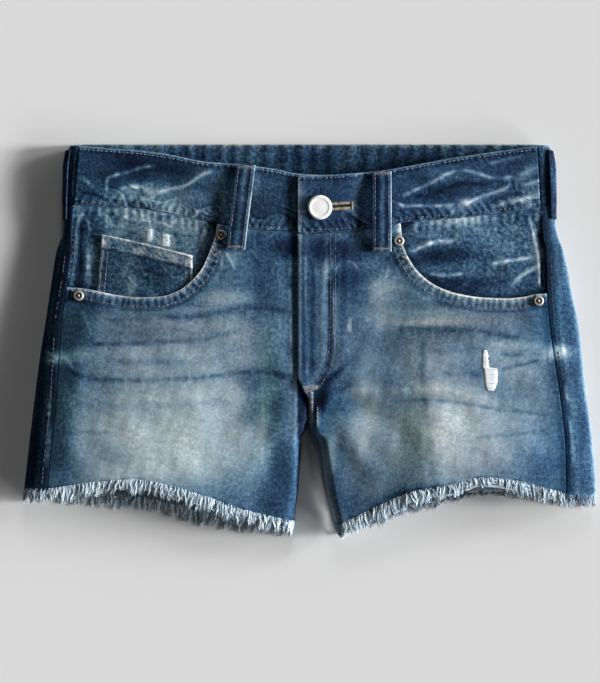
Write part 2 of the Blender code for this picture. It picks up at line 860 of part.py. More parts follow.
def build():
    for half in HALVES:
        side = half.side
        _panel, rows = front_panel(half)
        fringe(
            "hem_fringe_front_" + half.name, rows[-1], rows[-2],
            -side, 11 + side, True,
        )
        pocket_facing(half)
        front_band(half)
        back_yoke(half)
        _back, rows = back_panel(half)
        fringe(
            "hem_fringe_back_" + half.name, rows[-1], rows[-2],
            side, 31 + side, False,
        )
        outline = [(side * row.d, row.y) for row in BACK_POCKET]
        slab("back_pocket_" + half.name, outline, 0.0, 1.1, WASHED)
        front_loop(half, LOOP_L if side < 0 else LOOP_R)
        side_loop(half)
    coin_pocket()
    back_band()
    slab(
        "belt_loop_back",
        [(-6.5, 142.4), (6.5, 142.4), (6.5, 88.0), (-6.5, 88.0)], 0.0, 1.1, WASHED,
    )
    for row in RIVETS:
        half = LEFT if row.x < 0 else RIGHT
        here = panel_height(half, row.x, row.y)
        slope_x = (panel_height(half, row.x + 4, row.y) - panel_height(half, row.x - 4, row.y)) / 8
        slope_y = (panel_height(half, row.x, row.y + 4) - panel_height(half, row.x, row.y - 4)) / 8
        lathe(
            row.name, RIVET, (row.x, row.y, here + 0.4), METAL, 12,
            (math.atan(slope_y), -math.atan(slope_x)),
        )

    under = band_height(LEFT, BUTTON_X, BUTTON_Y)
    over = band_height(RIGHT, BUTTON_X, BUTTON_Y)
    low = under + 0.35
    cap = over + 0.45
    button = [
        (0, cap + 1.75), (5.6, cap + 1.7), (6.5, cap + 2.15), (7.8, cap + 2.2),
        (BUTTON_R, cap + 1.2), (BUTTON_R - 0.5, cap + 0.2), (BUTTON_R - 1.4, cap),
        (SHANK_R, cap), (SHANK_R, low), (0, low),
    ]
    lathe("button", button, (BUTTON_X, BUTTON_Y, 0), WHITE, 20)

    # Keyhole buttonhole: a round eye under the button and a narrow slit.
    tab = bpy.data.objects["waistband_front_r"]
    eye = keyhole()
    cut = tab.modifiers.new("Buttonhole", "BOOLEAN")
    cut.object = eye
    cut.operation = "DIFFERENCE"
    cut.solver = "EXACT"


def keyhole():
    """The cutter: one outline of the eye and the slit, longer than the wall."""
    turn = math.atan2(HOLE_Y_END - BUTTON_Y, HOLE_END_X - BUTTON_X)
    half_gap = math.asin(HOLE_WIDE / 2 / EYE_R)
    outline = []
    steps = 12
    for i in range(steps + 1):
        angle = mix(half_gap, math.tau - half_gap, i / steps)
        outline.append((EYE_R * math.cos(angle), EYE_R * math.sin(angle)))
    reach = HOLE_END_X - BUTTON_X
    outline += [(reach, -HOLE_WIDE / 2), (reach, HOLE_WIDE / 2)]
    placed = []
    for x, y in outline:
        placed.append((
            BUTTON_X + x * math.cos(turn) - y * math.sin(turn),
            BUTTON_Y + x * math.sin(turn) + y * math.cos(turn),
        ))
    cutter = slab("cut_buttonhole", placed, 6.0, 26.0, DARK)
    SHORTS.objects.unlink(cutter)
    CUTTERS.objects.link(cutter)
    cutter.hide_render = True
    cutter.display_type = "WIRE"
    return cutter


build()
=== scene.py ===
import math
import random
from collections import namedtuple

import bpy
import numpy as np
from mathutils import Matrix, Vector
from mathutils.bvhtree import BVHTree


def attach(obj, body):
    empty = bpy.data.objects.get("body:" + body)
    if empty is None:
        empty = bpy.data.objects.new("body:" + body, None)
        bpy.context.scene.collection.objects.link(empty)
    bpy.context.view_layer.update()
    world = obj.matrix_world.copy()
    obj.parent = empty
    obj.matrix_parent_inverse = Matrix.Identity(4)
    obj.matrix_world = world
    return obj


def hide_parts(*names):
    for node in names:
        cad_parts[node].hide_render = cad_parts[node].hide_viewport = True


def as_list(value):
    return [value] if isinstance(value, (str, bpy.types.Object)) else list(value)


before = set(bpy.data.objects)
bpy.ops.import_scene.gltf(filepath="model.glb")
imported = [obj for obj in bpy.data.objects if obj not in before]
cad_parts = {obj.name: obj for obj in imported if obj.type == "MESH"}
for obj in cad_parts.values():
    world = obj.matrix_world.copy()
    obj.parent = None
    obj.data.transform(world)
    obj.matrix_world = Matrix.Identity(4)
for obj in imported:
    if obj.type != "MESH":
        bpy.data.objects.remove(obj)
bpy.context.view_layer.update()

# The row frame is metres, with +X to the right of the front and +Y towards the
# waist. Sizes below are millimetres of the real garment, as in the solids.
MM = 0.001

# Cloth and gaps
DENIM = 1.2  # one layer of denim
BAND = 2.0  # waistband, two layers pressed together
LOOP = 1.2  # belt loop strap
SEAM = 0.12  # air between two pieces at a seam


def table_of(row, lines):
    """A list of rows with named columns."""
    return [row(*line) for line in lines]


# Height of the outer face of the front layer over the table, across one half:
# at the side fold, in the middle of the half, and at the centre line or inseam.
HeightRow = namedtuple("HeightRow", "y side mid inner")
HEIGHTS = table_of(HeightRow, (
    (146, 12, 13.6, 13.6), (98, 12, 14.2, 14.6), (40, 13.4, 16.2, 15), (0, 15.2, 17.4, 14.4),
    (-36, 16.4, 18.2, 12.8), (-56, 16.8, 18.8, 9.4), (-68, 17, 19.2, 4.8), (-82, 17.2, 19.6, 2.1),
    (-112, 17.2, 20.2, 2), (-142, 17, 19.6, 2),
))

# Side fold: distance from the centre line of the outermost cloth, and of the
# side seam on the front layer.
SideRow = namedtuple("SideRow", "y edge seam")
SIDE_L = table_of(SideRow, (
    (145, 170.5, 166.2), (141, 173.2, 166.5), (136.8, 175.2, 166.8), (126, 175.9, 167.7),
    (100, 176.2, 169.8), (86, 177.3, 170.6), (78, 178.2, 171), (66, 182.6, 171.4), (44.6, 186.1, 174),
    (15.8, 190.4, 178.4), (-13, 194.8, 180.2), (-41.8, 198.4, 181.8), (-77.8, 202.7, 185.4),
    (-106.6, 206, 188.3),
))
SIDE_R = table_of(SideRow, (
    (145, 170.5, 163.8), (141, 173, 164), (136.8, 175, 164.2), (126, 175.9, 164.8), (100, 176.4, 166.2),
    (86, 177.6, 167), (78, 179, 167.4), (64.8, 184, 169.9), (41, 188.6, 170.6), (15.8, 193.6, 172.2),
    (-13, 196.9, 176), (-41.8, 200, 180.2), (-77.8, 204.6, 183.6), (-106.6, 206.6, 184),
))

# Lines across the garment, by distance d from the centre line: top edge and
# lower seam of the front waistband, cloth edge of the front and back hems.
AcrossRow = namedtuple("AcrossRow", "d top seam hem back_hem")
ACROSS_L = table_of(AcrossRow, (
    (-20, 119.6, 79.8, -131.5, -134), (10, 121.3, 79.8, -130.2, -133.2), (25, 124.3, 80, -127, -131.4),
    (50, 127.7, 82, -120.5, -128), (75, 129.5, 87.2, -111.5, -124.2), (100, 134.2, 92.3, -104, -117.8),
    (125, 137.7, 96.6, -99.6, -113.5), (150, 139.6, 97.7, -101.2, -110.6), (170, 141, 98.5, -103.8, -108.5),
    (190, 141.2, 98.6, -106.4, -107.2), (210, 141.2, 98.6, -106.4, -106.6),
))
ACROSS_R = table_of(AcrossRow, (
    (-20, 119.4, 77.6, -136.5, -136.6), (10, 119.9, 78.4, -136, -136.2), (25, 120.7, 79.2, -130.7, -133),
    (50, 122.9, 82, -118.8, -124.5), (75, 127.1, 87.3, -108.2, -117), (100, 131.7, 88.7, -103.6, -111.6),
    (125, 135.5, 91.5, -98.2, -109), (150, 138.9, 94.6, -100.9, -108.4), (170, 141.2, 97, -106, -109.2),
    (190, 141.4, 97.2, -110.2, -110.4), (210, 141.4, 97.2, -110.8, -110.8),
))

# Back waist seam and back yoke seam: V of the yoke in the middle of the back.
BackRow = namedtuple("BackRow", "d top waist yoke")
BACK = table_of(BackRow, (
    (0, 143.2, 102, 46), (40, 143.2, 101.8, 52), (90, 143.2, 101.2, 60), (140, 143.2, 100.2, 66.5),
    (165, 143.2, 99, 69), (210, 142.4, 98.6, 70),
))

# Inner edge of each front panel: the fly down to its end, the front rise down
# to the crotch, then the inseam of the leg.
InnerRow = namedtuple("InnerRow", "y left right")
INNER = table_of(InnerRow, (
    (90, 9, -8.5), (-24, 9, -8.5), (-34, 3.6, -4.6), (-42, -2.3, -0.9), (-58, -1.9, -1.1),
    (-63, -2.1, -0.9), (-70, -6.4, 6.2), (-86, -6.7, 9.2), (-105, -7.9, 12), (-119, -9.6, 15),
    (-140, -11.4, 20),
))

# Front pocket mouth: the edge of the front panel, and how far down the facing
# behind it runs.
MouthRow = namedtuple("MouthRow", "d y facing")
MOUTH_L = table_of(MouthRow, (
    (60, 99, 66), (66.5, 84.4, 60), (67.9, 76.2, 57), (71.9, 64.9, 50), (76.8, 53.6, 42), (84.8, 44, 32),
    (94.5, 36.8, 26), (107.3, 32.8, 22), (123.4, 32.2, 21.5), (139.5, 34, 23), (153.1, 36.8, 26),
    (163.6, 38.6, 28), (176, 39.6, 29),
))
MOUTH_R = table_of(MouthRow, (
    (60, 100, 62), (65.4, 84.6, 56), (66.6, 72, 54), (71.8, 59.2, 45), (79.7, 48.7, 36), (91.9, 39.9, 28),
    (106.7, 34.7, 24), (124.2, 32.1, 21.5), (141.6, 31.4, 21), (154.7, 32.6, 22), (161.7, 34.2, 24),
    (176, 35.6, 26),
))

# Plain numbers of each half: how far the facing sinks at the pocket mouth, height of the hem at the
# inseam, wear of the panel, of its facing and of the band beside the mouth, and that band's tone
PlainRow = namedtuple("PlainRow", "drop hem_y panel facing band band_tone")
PLAIN_L = PlainRow(2.9, -131.0, 0.518, 0.523, 0.37, -0.25)
PLAIN_R = PlainRow(1.7, -136.0, 0.502, 0.425, 0.47, 0.5)

# Soft folds of the front layer: ridges where rise is over 0, troughs under 0.
FoldRow = namedtuple("FoldRow", "x y turn long wide rise")
FOLDS = table_of(FoldRow, (
    (-96, 20, -9, 62, 9, 1), (-100, -2, -6, 70, 10, -0.9), (-92, -24, 5, 58, 11, 1.1),
    (-40, -44, 32, 34, 10, -1.3), (-30, -72, 58, 30, 8, 0.9), (92, 12, 9, 60, 10, -1),
    (100, -10, 4, 66, 11, 1.1), (88, -40, -6, 54, 10, -0.9), (38, -46, -34, 34, 10, -1.3),
    (34, -76, -60, 30, 8, 0.9), (-126, -70, 78, 44, 14, 0.8), (128, -66, -80, 44, 14, 0.8),
    (-70, 112, 8, 40, 8, 0.6), (96, 116, -16, 34, 7, 0.7), (118, 104, 14, 34, 7, -0.6),
))

# Back waistband: its top edge and its gathers
BACK_TOP = 143.2
GATHER_PITCH = 11.5
GATHER_DEPTH = 0.9

FOLD_FOOT = 9.0  # the side fold leaves the table this far in from the outermost cloth

# Wear, as cloth colour: 0 is raw indigo and 1 is bleached cotton. Tone is over
# 0 for a grey-green cast and under 0 for a violet one.
# The fade rows were fitted to the wanted tones, so besides the wash they also hold some painted light and
# shade
FadeRow = namedtuple("FadeRow", "x y turn long wide wear tone", defaults=(0.0,))
# Fades of the left front: thigh, whiskers, dark sides
FADES_L = table_of(FadeRow, (
    (-30, -62, 84, 24, 8, 0.09), (-104, -66, 0, 84, 42, 0.19, 0.15), (-88, -72, 0, 46, 30, 0.16, 0.1),
    (-110, -12, 2, 66, 14, 0.2, 0.1), (-62, 8, 0, 44, 10, 0.11), (-112, -36, 0, 70, 12, 0.12),
    (-112, 16, 0, 40, 9, 0.05, -0.3), (-60, -20, 0, 40, 34, 0.05, 0.1), (-24, -36, 90, 26, 7, -0.15, 0.8),
    (-24, -68, 90, 26, 8, -0.17, 0.6), (-20, -104, 72, 30, 14, -0.19, -0.1),
    (-44, -117, -18, 34, 9, -0.04, -0.1), (-30, 40, 90, 46, 14, -0.14), (-60, 56, 0, 30, 10, -0.01),
    (-166, 10, 84, 40, 12, -0.25, 0.4), (-140, 14, 0, 20, 8, 0.07, 0.6), (-176, -50, 86, 50, 8, -0.25, 0.2),
    (-176, -92, 84, 30, 12, -0.09), (-158, -98, 20, 22, 10, 0.05, 0.2), (-15, 68, 0, 12, 9, -0.38),
    (-166, -9, 20, 9, 5, 0.22), (-34, -49, 20, 16, 9, -0.12, 0.3), (-63, 32, 0, 20, 6, 0.27),
    (-140, -66, 0, 26, 20, 0.12), (-84, -92, 0, 30, 12, 0.04), (-130, -96, 0, 26, 10, 0.15),
    (-150, -30, 0, 16, 20, -0.05), (-34, -24, 20, 16, 10, -0.12), (-100, 34, 0, 40, 8, -0.14),
    (-14, 44, 90, 26, 4, -0.1), (-80, -50, 0, 22, 18, -0.01), (-40, -37, 90, 14, 8, -0.14),
    (-40, 72, 0, 9, 8, -0.12),
))
FADES_R = table_of(FadeRow, (
    (106, -62, 0, 30, 38, 0.17, 0.1), (110, -68, 0, 66, 46, 0.23, 0.05), (104, -14, 0, 46, 16, 0.2),
    (92, 22, 4, 40, 11, 0.14, 0.5), (54, 38, 0, 14, 11, 0.21, 0.5), (42, 36, 0, 6, 8, -0.05),
    (38, -52, 80, 44, 12, 0.31, 0.1), (50, -84, 84, 36, 14, 0.05, 0.2), (76, -52, 90, 62, 8, -0.03, 0.9),
    (74, -84, 86, 34, 10, -0.08, 0.9), (76, 0, 90, 22, 9, 0, 0.5), (74, -112, 10, 26, 8, -0.36, 0.6),
    (26, -106, -60, 36, 14, -0.06, -0.2), (150, -94, 10, 36, 14, -0.11, -0.2),
    (164, -60, 90, 60, 12, 0.05, -0.2), (150, -14, 0, 24, 16, 0.16), (118, -20, 0, 22, 10, -0.18, -0.3),
    (18, 66, 0, 30, 9, -0.3, -0.8), (10, 20, 90, 56, 5, -0.05), (0, 10, 90, 60, 3, -0.15, -0.2),
    (40, 10, 80, 40, 14, 0.11, -0.2), (8, -38, 70, 14, 7, -0.37, -0.1), (-3, 72, 90, 14, 4, 0.14, -0.3),
    (130, 12, 0, 22, 8, 0.08, 0.1), (56, 54, 30, 14, 8, -0.08, -0.1), (20, 55, 80, 20, 5, -0.11),
    (30, -66, 70, 30, 9, -0.09), (146, 6, 80, 26, 8, 0.04), (60, -14, 20, 24, 12, -0.01),
    (15, -84, 80, 32, 5, 0.16), (15, 55, 80, 12, 5, 0.26), (29, 46, 0, 13, 8, -0.24),
    (34, 12, 60, 18, 9, -0.02), (62, 70, 60, 10, 5, -0.07), (26, -46, 0, 12, 8, -0.14, 0.2),
    (84, -32, 0, 12, 6, 0.15), (55, 17, 0, 10, 9, 0.13), (35, 32, 0, 9, 9, -0.15),
    (141, -12, 0, 12, 6, -0.12),
))
# Whisker lines: long thin strokes, paler or darker than the cloth round them
WHISKERS_L = table_of(FadeRow, (
    (-64, 23.6, 1, 36, 2.6, 0.08), (-120, -14, -2, 40, 2.6, -0.03), (-96, 14, -4, 26, 3, 0.09),
))
WHISKERS_R = table_of(FadeRow, (
    (112, -6, 2, 30, 3, -0.1, 0.2), (18, -24, 46, 16, 2.4, -0.16, 0.2), (26, -32, 30, 16, 2.2, -0.12, 0.3),
    (34, -12, 70, 20, 2.4, -0.1), (14.5, 26, 90, 40, 1.8, -0.2), (24, 30, 88, 34, 2, -0.16),
    (94, 27, 2, 24, 3.2, -0.17, 0.1), (86, 14, 2, 26, 3, 0.17, 0.2),
))

# Casts of the front by place: warm is over 0 for greyer cloth and under 0 for
# bluer, green is over 0 for greener and under 0 for more violet
HueRow = namedtuple("HueRow", "x y turn long wide warm green")
HUES = table_of(HueRow, (
    (-116, 65, -17, 34, 5.5, 0.55, -0.3), (-149, 56, 84, 18, 3.5, 0.5, -0.25),
    (-90, -30, 0, 110, 70, 0.12, 0), (95, -30, 0, 100, 70, -0.03, -0.13), (-64, 16, 0, 46, 16, 0.34, -0.1),
    (-48, -35, 84, 34, 14, 0.58, -0.26), (-122, 5, 0, 28, 10, 0.32, -0.17),
    (72, -62, 84, 44, 18, 0.64, 0.15), (94, 9, 0, 32, 12, 0.78, -0.28), (132, 18, 0, 24, 10, 0.5, -0.41),
    (173, 16, 80, 22, 12, -1.2, 0.53), (176, -78, 80, 30, 18, -1.18, 0.3),
    (-7, -10, 90, 46, 6, -0.7, -0.09), (9, -56, 80, 20, 8, -0.9, 0.6), (45, -24, 0, 16, 16, -0.74, 0.09),
    (-180, -50, 84, 44, 9, 0.75, 0.72), (-172, 13, 70, 16, 11, 0.34, 0.98),
    (-30, -26, 86, 42, 8, 0.44, 0.65), (84, -33, 90, 22, 10, -0.12, -0.31),
    (130, -88, 0, 24, 12, 0.34, -0.32), (26, 22, 80, 34, 10, -0.17, -0.22),
    (-60, 98, 0, 50, 22, 0.13, -0.02), (-140, 108, 0, 36, 20, -0.33, 0.25),
    (60, 100, 0, 50, 20, -0.32, -0.16), (140, 110, 0, 36, 20, -0.03, -0.15),
    (-150, 70, 0, 30, 22, -0.08, 0.19), (-104, 55, 0, 30, 18, 0.4, 0.19),
    (-48, 60, 0, 30, 20, -0.09, -0.02), (92, 70, 0, 30, 20, -0.22, 0.11), (146, 66, 0, 26, 24, -0.2, 0.09),
    (-6, 143, 0, 190, 2.2, 1.2, -0.3), (176, 70, 84, 40, 10, 0.2, -0.03),
))

# Creases worn into the cloth, as lines of (x, y) with their ridge and wear
LineRow = namedtuple("LineRow", "width rise wear points")
BAND_LINES = table_of(LineRow, (
    (1.3, 0.35, 0.34, ((-146, 106), (-146, 116.6), (-141.2, 119.6), (-131.6, 122), (-120.8, 125.6),
     (-108, 127))),
    (1.4, 0.35, 0.32, ((-112, 107.4), (-96.8, 110.6), (-88.4, 113), (-81.2, 117.8), (-75.2, 121.4),
     (-66, 123.4))),
    (1.6, 0.25, 0.2, ((-140, 108), (-132, 111.4), (-124, 112), (-114.8, 110))),
    (1.2, 0.2, 0.2, ((-168, 119.8), (-160, 115.2), (-154, 110))),
    (1.4, -0.3, -0.16, ((-169, 108.6), (-155.6, 106.2), (-148, 102.6), (-136, 101.6))),
    (1.6, -0.3, -0.14, ((-134, 105), (-122, 106.6), (-110, 104), (-100, 106.4))),
    (1.3, 0.35, 0.34, ((64, 103.6), (76, 109.4), (89.2, 115.4), (98.8, 120.8), (108.4, 123.8))),
    (1.3, 0.35, 0.34, ((108.4, 123.8), (116.8, 122.6), (127.6, 119), (134.8, 117.8), (144.4, 118.4),
     (146.2, 115.4))),
    (1.3, 0.35, 0.36, ((146.2, 115.4), (140.8, 110.6), (130, 107), (118, 102.2), (108.4, 96.2))),
    (1.3, 0.3, 0.34, ((60.4, 101), (67.6, 98), (79.6, 98), (94, 98), (106, 99))),
    (2.6, 0.3, 0.34, ((104, 99.6), (112, 101), (118, 102.6))),
    (1.6, -0.35, -0.14, ((72, 104), (90, 107), (108, 114), (128, 113))),
    (2.6, 0.2, 0.18, ((148, 119), (156, 122.4), (166, 127.6))),
    (2, -0.25, -0.12, ((122, 98), (138, 103.6), (156, 108))),
    (2, 0.25, 0.26, ((128, 95.4), (142, 100.6), (160, 104.4), (170, 109))),
    (1.3, 0.25, 0.24, ((150, 112), (160, 114.4), (172, 119))),
    (1.1, 0.2, 0.2, ((126, 128), (140, 131), (156, 135))),
    (1.2, 0.2, 0.22, ((154, 97), (166, 100.6), (174, 105))),
))
FACING_LINES = table_of(LineRow, (
    (1.4, 0.34, 0.44, ((70, 63), (80.8, 68.6), (91.6, 72.2), (106, 72.6))),
    (1.2, 0.25, 0.32, ((84.2, 49.2), (100, 47.6), (112, 49.6))),
    (1.6, 0.28, 0.36, ((127.6, 55.4), (142, 58.4), (163.6, 61.4))),
    (1.5, 0.32, 0.42, ((166, 56), (151.6, 47), (146, 41), (144.4, 37.4))),
    (1.6, 0.2, 0.26, ((-159.6, 70), (-160.2, 58), (-159.6, 46))),
    (1.2, 0.2, 0.2, ((-150, 92), (-146, 86), (-146, 79))),
    (1, 0.3, 0.4, ((158.2, 91), (161.6, 76), (165.2, 58), (165.4, 38))),
    (0.9, -0.3, -0.26, ((161.8, 90), (166.4, 72), (167.4, 56), (167.2, 38))),
    (1, -0.2, -0.18, ((-164.2, 88), (-165.6, 70), (-165.2, 46))),
    (1, 0.2, 0.3, ((-168, 84), (-163, 92), (-159, 84), (-160, 74))),
    (0.9, 0.2, 0.24, ((-156, 90), (-150, 93), (-143.6, 88), (-142, 80))),
    (0.8, 0.1, 0.2, ((-138, 92), (-126, 88), (-112, 87), (-96, 82))),
    (0.8, -0.2, -0.2, ((-136, 88), (-120, 84), (-100, 78), (-82, 76))),
))
SIDE_LINES = table_of(LineRow, (
    (1.1, 0.2, 0.45, ((182.4, -29), (184, -36), (184.8, -45))),
    (1, 0.2, 0.34, ((186.2, -52), (188, -66), (188.6, -92))),
    (1, 0.2, 0.3, ((176.6, 2), (177.4, -6), (177.2, -15))),
    (1.4, 0.2, 0.36, ((181, 1), (182, -5), (181.6, -12))),
    (1.3, 0.2, 0.42, ((-186, -30), (-187, -50), (-187.2, -66), (-189.5, -92))),
    (1.4, 0.2, 0.4, ((-192, -6), (-185, -9), (-178, -14))),
    (1.2, 0.2, 0.34, ((-190, -13), (-184, -14), (-179, -17))),
))
PANEL_LINES = table_of(LineRow, (
    (1.2, 0.2, 0.36, ((-177, -11), (-173, -14), (-169, -21))),
    (1.1, 0.2, 0.24, ((172.4, 1.4), (173, -8), (173, -17))),
    (1, 0.2, 0.24, ((-62, 67), (-57, 59), (-53, 51))),
    (1, 0.2, 0.22, ((-63.4, 66), (-63.4, 51))),
    (1.1, 0.2, 0.16, ((60, 62), (56, 52), (53, 42))),
    (1.8, -0.3, -0.1, ((8, -31), (16, -25), (26, -17))),
    (1.8, -0.25, -0.08, ((-8, -33), (-18, -27), (-28, -22))),
    (1.2, 0.15, 0.12, ((-166, 28), (-160, 14), (-157, 2))),
    (0.9, 0.15, 0.24, ((-3.4, 68), (-2.8, 40), (-1.9, 10), (-1.5, -28))),
    (1.3, -0.2, -0.18, ((2.4, 62), (2.4, 24), (2.2, -26))),
    (2, 0.2, 0.14, ((11, 56), (9.4, 30), (9.6, 0), (10, -14))),
    (0.9, -0.3, -0.26, ((13.6, 46), (14.8, 20), (14, -6), (11.4, -20))),
    (0.8, 0.2, 0.22, ((17.4, 40), (17.8, 10), (17, -12))),
    (0.7, 0.15, 0.28, ((1, 64), (3.6, 54), (5.8, 46))),
    (0.8, 0.15, 0.26, ((23, 55), (29, 58), (33, 55), (36, 48))),
    (1.2, 0.1, 0.24, ((30.4, 20), (28.4, 12), (30, 4))),
    (0.7, 0.1, 0.16, ((21.5, 68), (22, 58), (21.5, 40))),
    (0.9, 0.1, 0.26, ((-13.4, 66), (-13.8, 30), (-13, 4), (-12.6, -26))),
    # Whiskers of the left thigh
    (1.7, -0.35, -0.15, ((-162, -2), (-136.4, -1.4), (-114.8, -0.7), (-93.2, 0.7), (-75.2, 2.2),
     (-60.8, 5.8), (-46.4, 10.1))),
    (1.8, -0.35, -0.15, ((-175, -20), (-165, -25), (-150.8, -27.4), (-122, -27.4), (-93.2, -26.6),
     (-68, -24.5), (-42.8, -21.6), (-24.8, -23), (-12, -25))),
    (2.2, -0.35, -0.15, ((-112, 18.4), (-89.6, 17.3), (-71.6, 20.2), (-53.6, 23.8), (-34.2, 24.5),
     (-14, 21.6))),
    (3.4, -0.2, -0.07, ((-172, -45.4), (-143.6, -46), (-114.8, -46), (-86, -44.6), (-57, -43.2))),
    (0.9, -0.15, -0.09, ((-185, -63.4), (-165, -64.8), (-136, -64.8))),
    (2.4, -0.15, -0.06, ((-150.8, -14.4), (-122, -14.6), (-86, -14.4), (-58, -11))),
    (1.4, -0.2, -0.12, ((-146, 14.5), (-130, 16.5), (-112, 15))),
    # Whiskers of the right thigh
    (1.9, -0.35, -0.15, ((60, 6.5), (68.8, 9.4), (86.8, 9.4), (101.2, 8.6), (119.2, 7.9), (137.2, 4.3),
     (152, 2.9))),
    (3.2, 0.3, 0.08, ((22, -37.4), (43.6, -34.6), (61.6, -35.3), (83.2, -33.8), (104.8, -35.3),
     (121.3, -39.6), (136, -43.2))),
    (1.3, -0.3, -0.11, ((54.4, -42.5), (79.6, -41.8), (101.2, -43.2), (119.2, -46), (137.2, -49),
     (158.8, -51.1), (172, -54))),
    (1.3, -0.25, -0.1, ((115, -69.1), (133.2, -67.7), (151.6, -65.5), (172, -63.4))),
    (1.5, -0.3, -0.18, ((134, -8), (144.4, -9.4), (156, -8.6))),
    (1.3, -0.3, -0.2, ((135, -20.6), (144.4, -18), (158.8, -14.4), (167, -12.6))),
    (2.6, 0.25, 0.12, ((126, -1.4), (151.6, -2.2), (172, -2.9))),
    (2.2, -0.2, -0.09, ((90, -23), (112, -23), (125, -23))),
    (3, -0.2, -0.07, ((79.6, 4), (80, -30), (84, -64), (87, -100))),
))


def mix(a, b, share):
    return a + (b - a) * share


def smooth(share):
    """0 to 1 with level ends."""
    share = np.clip(share, 0.0, 1.0)
    return share * share * (3.0 - 2.0 * share)


def bell(away, width, amount=1.0):
    """A soft bump: the amount where away is 0, and next to nothing two widths off."""
    return amount * np.exp(-((away / width) ** 2))


CURVES = {}


def read(table, key, column, at):
    """The value of a table column at a key, on a curve that never overshoots its rows."""
    name = (id(table), key, column)
    if name not in CURVES:
        rows = sorted(table, key=lambda row: getattr(row, key))
        keys = np.array([getattr(row, key) for row in rows], float)
        values = np.array([getattr(row, column) for row in rows], float)
        steps = np.diff(values) / np.diff(keys)
        slopes = np.concatenate([steps[:1], np.zeros(len(keys) - 2), steps[-1:]])
        for k in range(1, len(keys) - 1):
            if steps[k - 1] * steps[k] > 0:
                slopes[k] = 2 * steps[k - 1] * steps[k] / (steps[k - 1] + steps[k])
        CURVES[name] = keys, values, slopes
    keys, values, slopes = CURVES[name]
    at = np.clip(at, keys[0], keys[-1])
    i = np.clip(np.searchsorted(keys, at) - 1, 0, len(keys) - 2)
    span = keys[i + 1] - keys[i]
    t = (at - keys[i]) / span
    a = (2 * t**3 - 3 * t**2 + 1) * values[i] + (t**3 - 2 * t**2 + t) * span * slopes[i]
    b = (3 * t**2 - 2 * t**3) * values[i + 1] + (t**3 - t**2) * span * slopes[i + 1]
    return a + b


def back_line(column, d):
    return read(BACK, "d", column, d)


# Heights of a few places: waist seam at the centre and at the side, hem at the side, crotch
WAIST_Y, SIDE_WAIST_Y, SIDE_HEM_Y, CROTCH_Y = 78.0, 98.0, -106.0, -58
LEG_TOP = -36  # from here down the front turns over towards the inseam


class Half:
    """The sizes of one half of the garment, with side -1 for _l and +1 for _r."""

    def __init__(self, side, name, sides, across, mouth, plain, fades, whiskers):
        self.side, self.name = side, name
        self.sides, self.across, self.mouth, self.plain = sides, across, mouth, plain
        self.fades, self.whiskers = fades, whiskers
        self.inner_column = "left" if side < 0 else "right"
        self.corner = mouth[1].d - 0.6  # where the pocket mouth meets the waistband

    def line(self, column, d):
        return read(self.across, "d", column, d)

    def edge(self, y):
        return read(self.sides, "y", "edge", y)

    def seam(self, y):
        return read(self.sides, "y", "seam", y)

    def reach(self, y):
        """Distance from the centre line of the front's outer edge, beside the side seam."""
        return self.seam(y) - SEAM / 2

    def inner(self, y):
        """Distance from the centre line of the front panel's inner edge, under 0 where it crosses."""
        return self.side * read(INNER, "y", self.inner_column, y)

    def leg(self, y):
        """Distance from the centre line of the inseam, or 0 above the crotch."""
        return np.where(np.less(y, CROTCH_Y), np.maximum(0.0, self.inner(y)), 0.0)


LEFT = Half(-1, "l", SIDE_L, ACROSS_L, MOUTH_L, PLAIN_L, FADES_L, WHISKERS_L)
RIGHT = Half(1, "r", SIDE_R, ACROSS_R, MOUTH_R, PLAIN_R, FADES_R, WHISKERS_R)
HALVES = (LEFT, RIGHT)


def spots(table, x, y, column, power=1.0):
    """Sum of a column over a table's soft ellipses at a place; a higher power has a firmer edge."""
    total = np.zeros(np.shape(x))
    for row in table:
        cos, sin = math.cos(math.radians(row.turn)), math.sin(math.radians(row.turn))
        along = (x - row.x) * cos + (y - row.y) * sin
        over = (y - row.y) * cos - (x - row.x) * sin
        reach = (along / row.long) ** 2 + (over / row.wide) ** 2
        total = total + getattr(row, column) * np.exp(-(reach ** power))
    return total


def folds(x, y):
    """Rise of the front layer's soft folds at a place."""
    return spots(FOLDS, x, y, "rise")


def wobble(x, y, scale, seed, waves=7):
    """Smooth uneven waves of about one unit, the same every run."""
    chance = random.Random(seed)
    total = 0.0
    for _ in range(waves):
        turn, phase = chance.uniform(0, math.tau), chance.uniform(0, math.tau)
        long = scale * chance.uniform(0.6, 1.7)
        total = total + np.sin((x * math.cos(turn) + y * math.sin(turn)) * math.tau / long + phase)
    return total / math.sqrt(waves)


def creases(x, y, scale, seed):
    """Fine wandering creases that come and go, each pale on its crest and dark beside it."""
    across = wobble(x, y, scale, seed, 9)
    crest = bell(across - 0.08, 0.13) - bell(across + 0.22, 0.15, 0.8)
    return crest * smooth(0.65 + 0.9 * wobble(x, y, 1.6 * scale, seed + 1))


def spline(points, step=2.0):
    """Points of a smooth line through the given ones, about step apart."""
    given = np.array(points, float)
    if len(given) < 3:
        count = max(2, int(np.linalg.norm(given[-1] - given[0]) / step) + 1)
        return mix(given[:1], given[-1:], shares_down(count))
    ends = np.concatenate([[2 * given[0] - given[1]], given, [2 * given[-1] - given[-2]]])
    made = []
    for a, b, c, d in zip(ends, ends[1:], ends[2:], ends[3:]):
        count = max(2, int(np.linalg.norm(c - b) / step) + 1)
        t = np.linspace(0, 1, count, endpoint=False)[:, None]
        made.append(0.5 * (2 * b + (c - a) * t + (2 * a - 5 * b + 4 * c - d) * t**2
                           + (3 * b - a - 3 * c + d) * t**3))
    return np.concatenate(made + [given[-1:]])


def lengths_of(points):
    """How far along a line each of its points is."""
    return np.concatenate([[0], np.cumsum(np.linalg.norm(np.diff(points, axis=0), axis=1))])


def shares_down(count):
    return np.linspace(0, 1, count)[:, None]


def shares_across(count):
    return np.linspace(0, 1, count)[None, :]


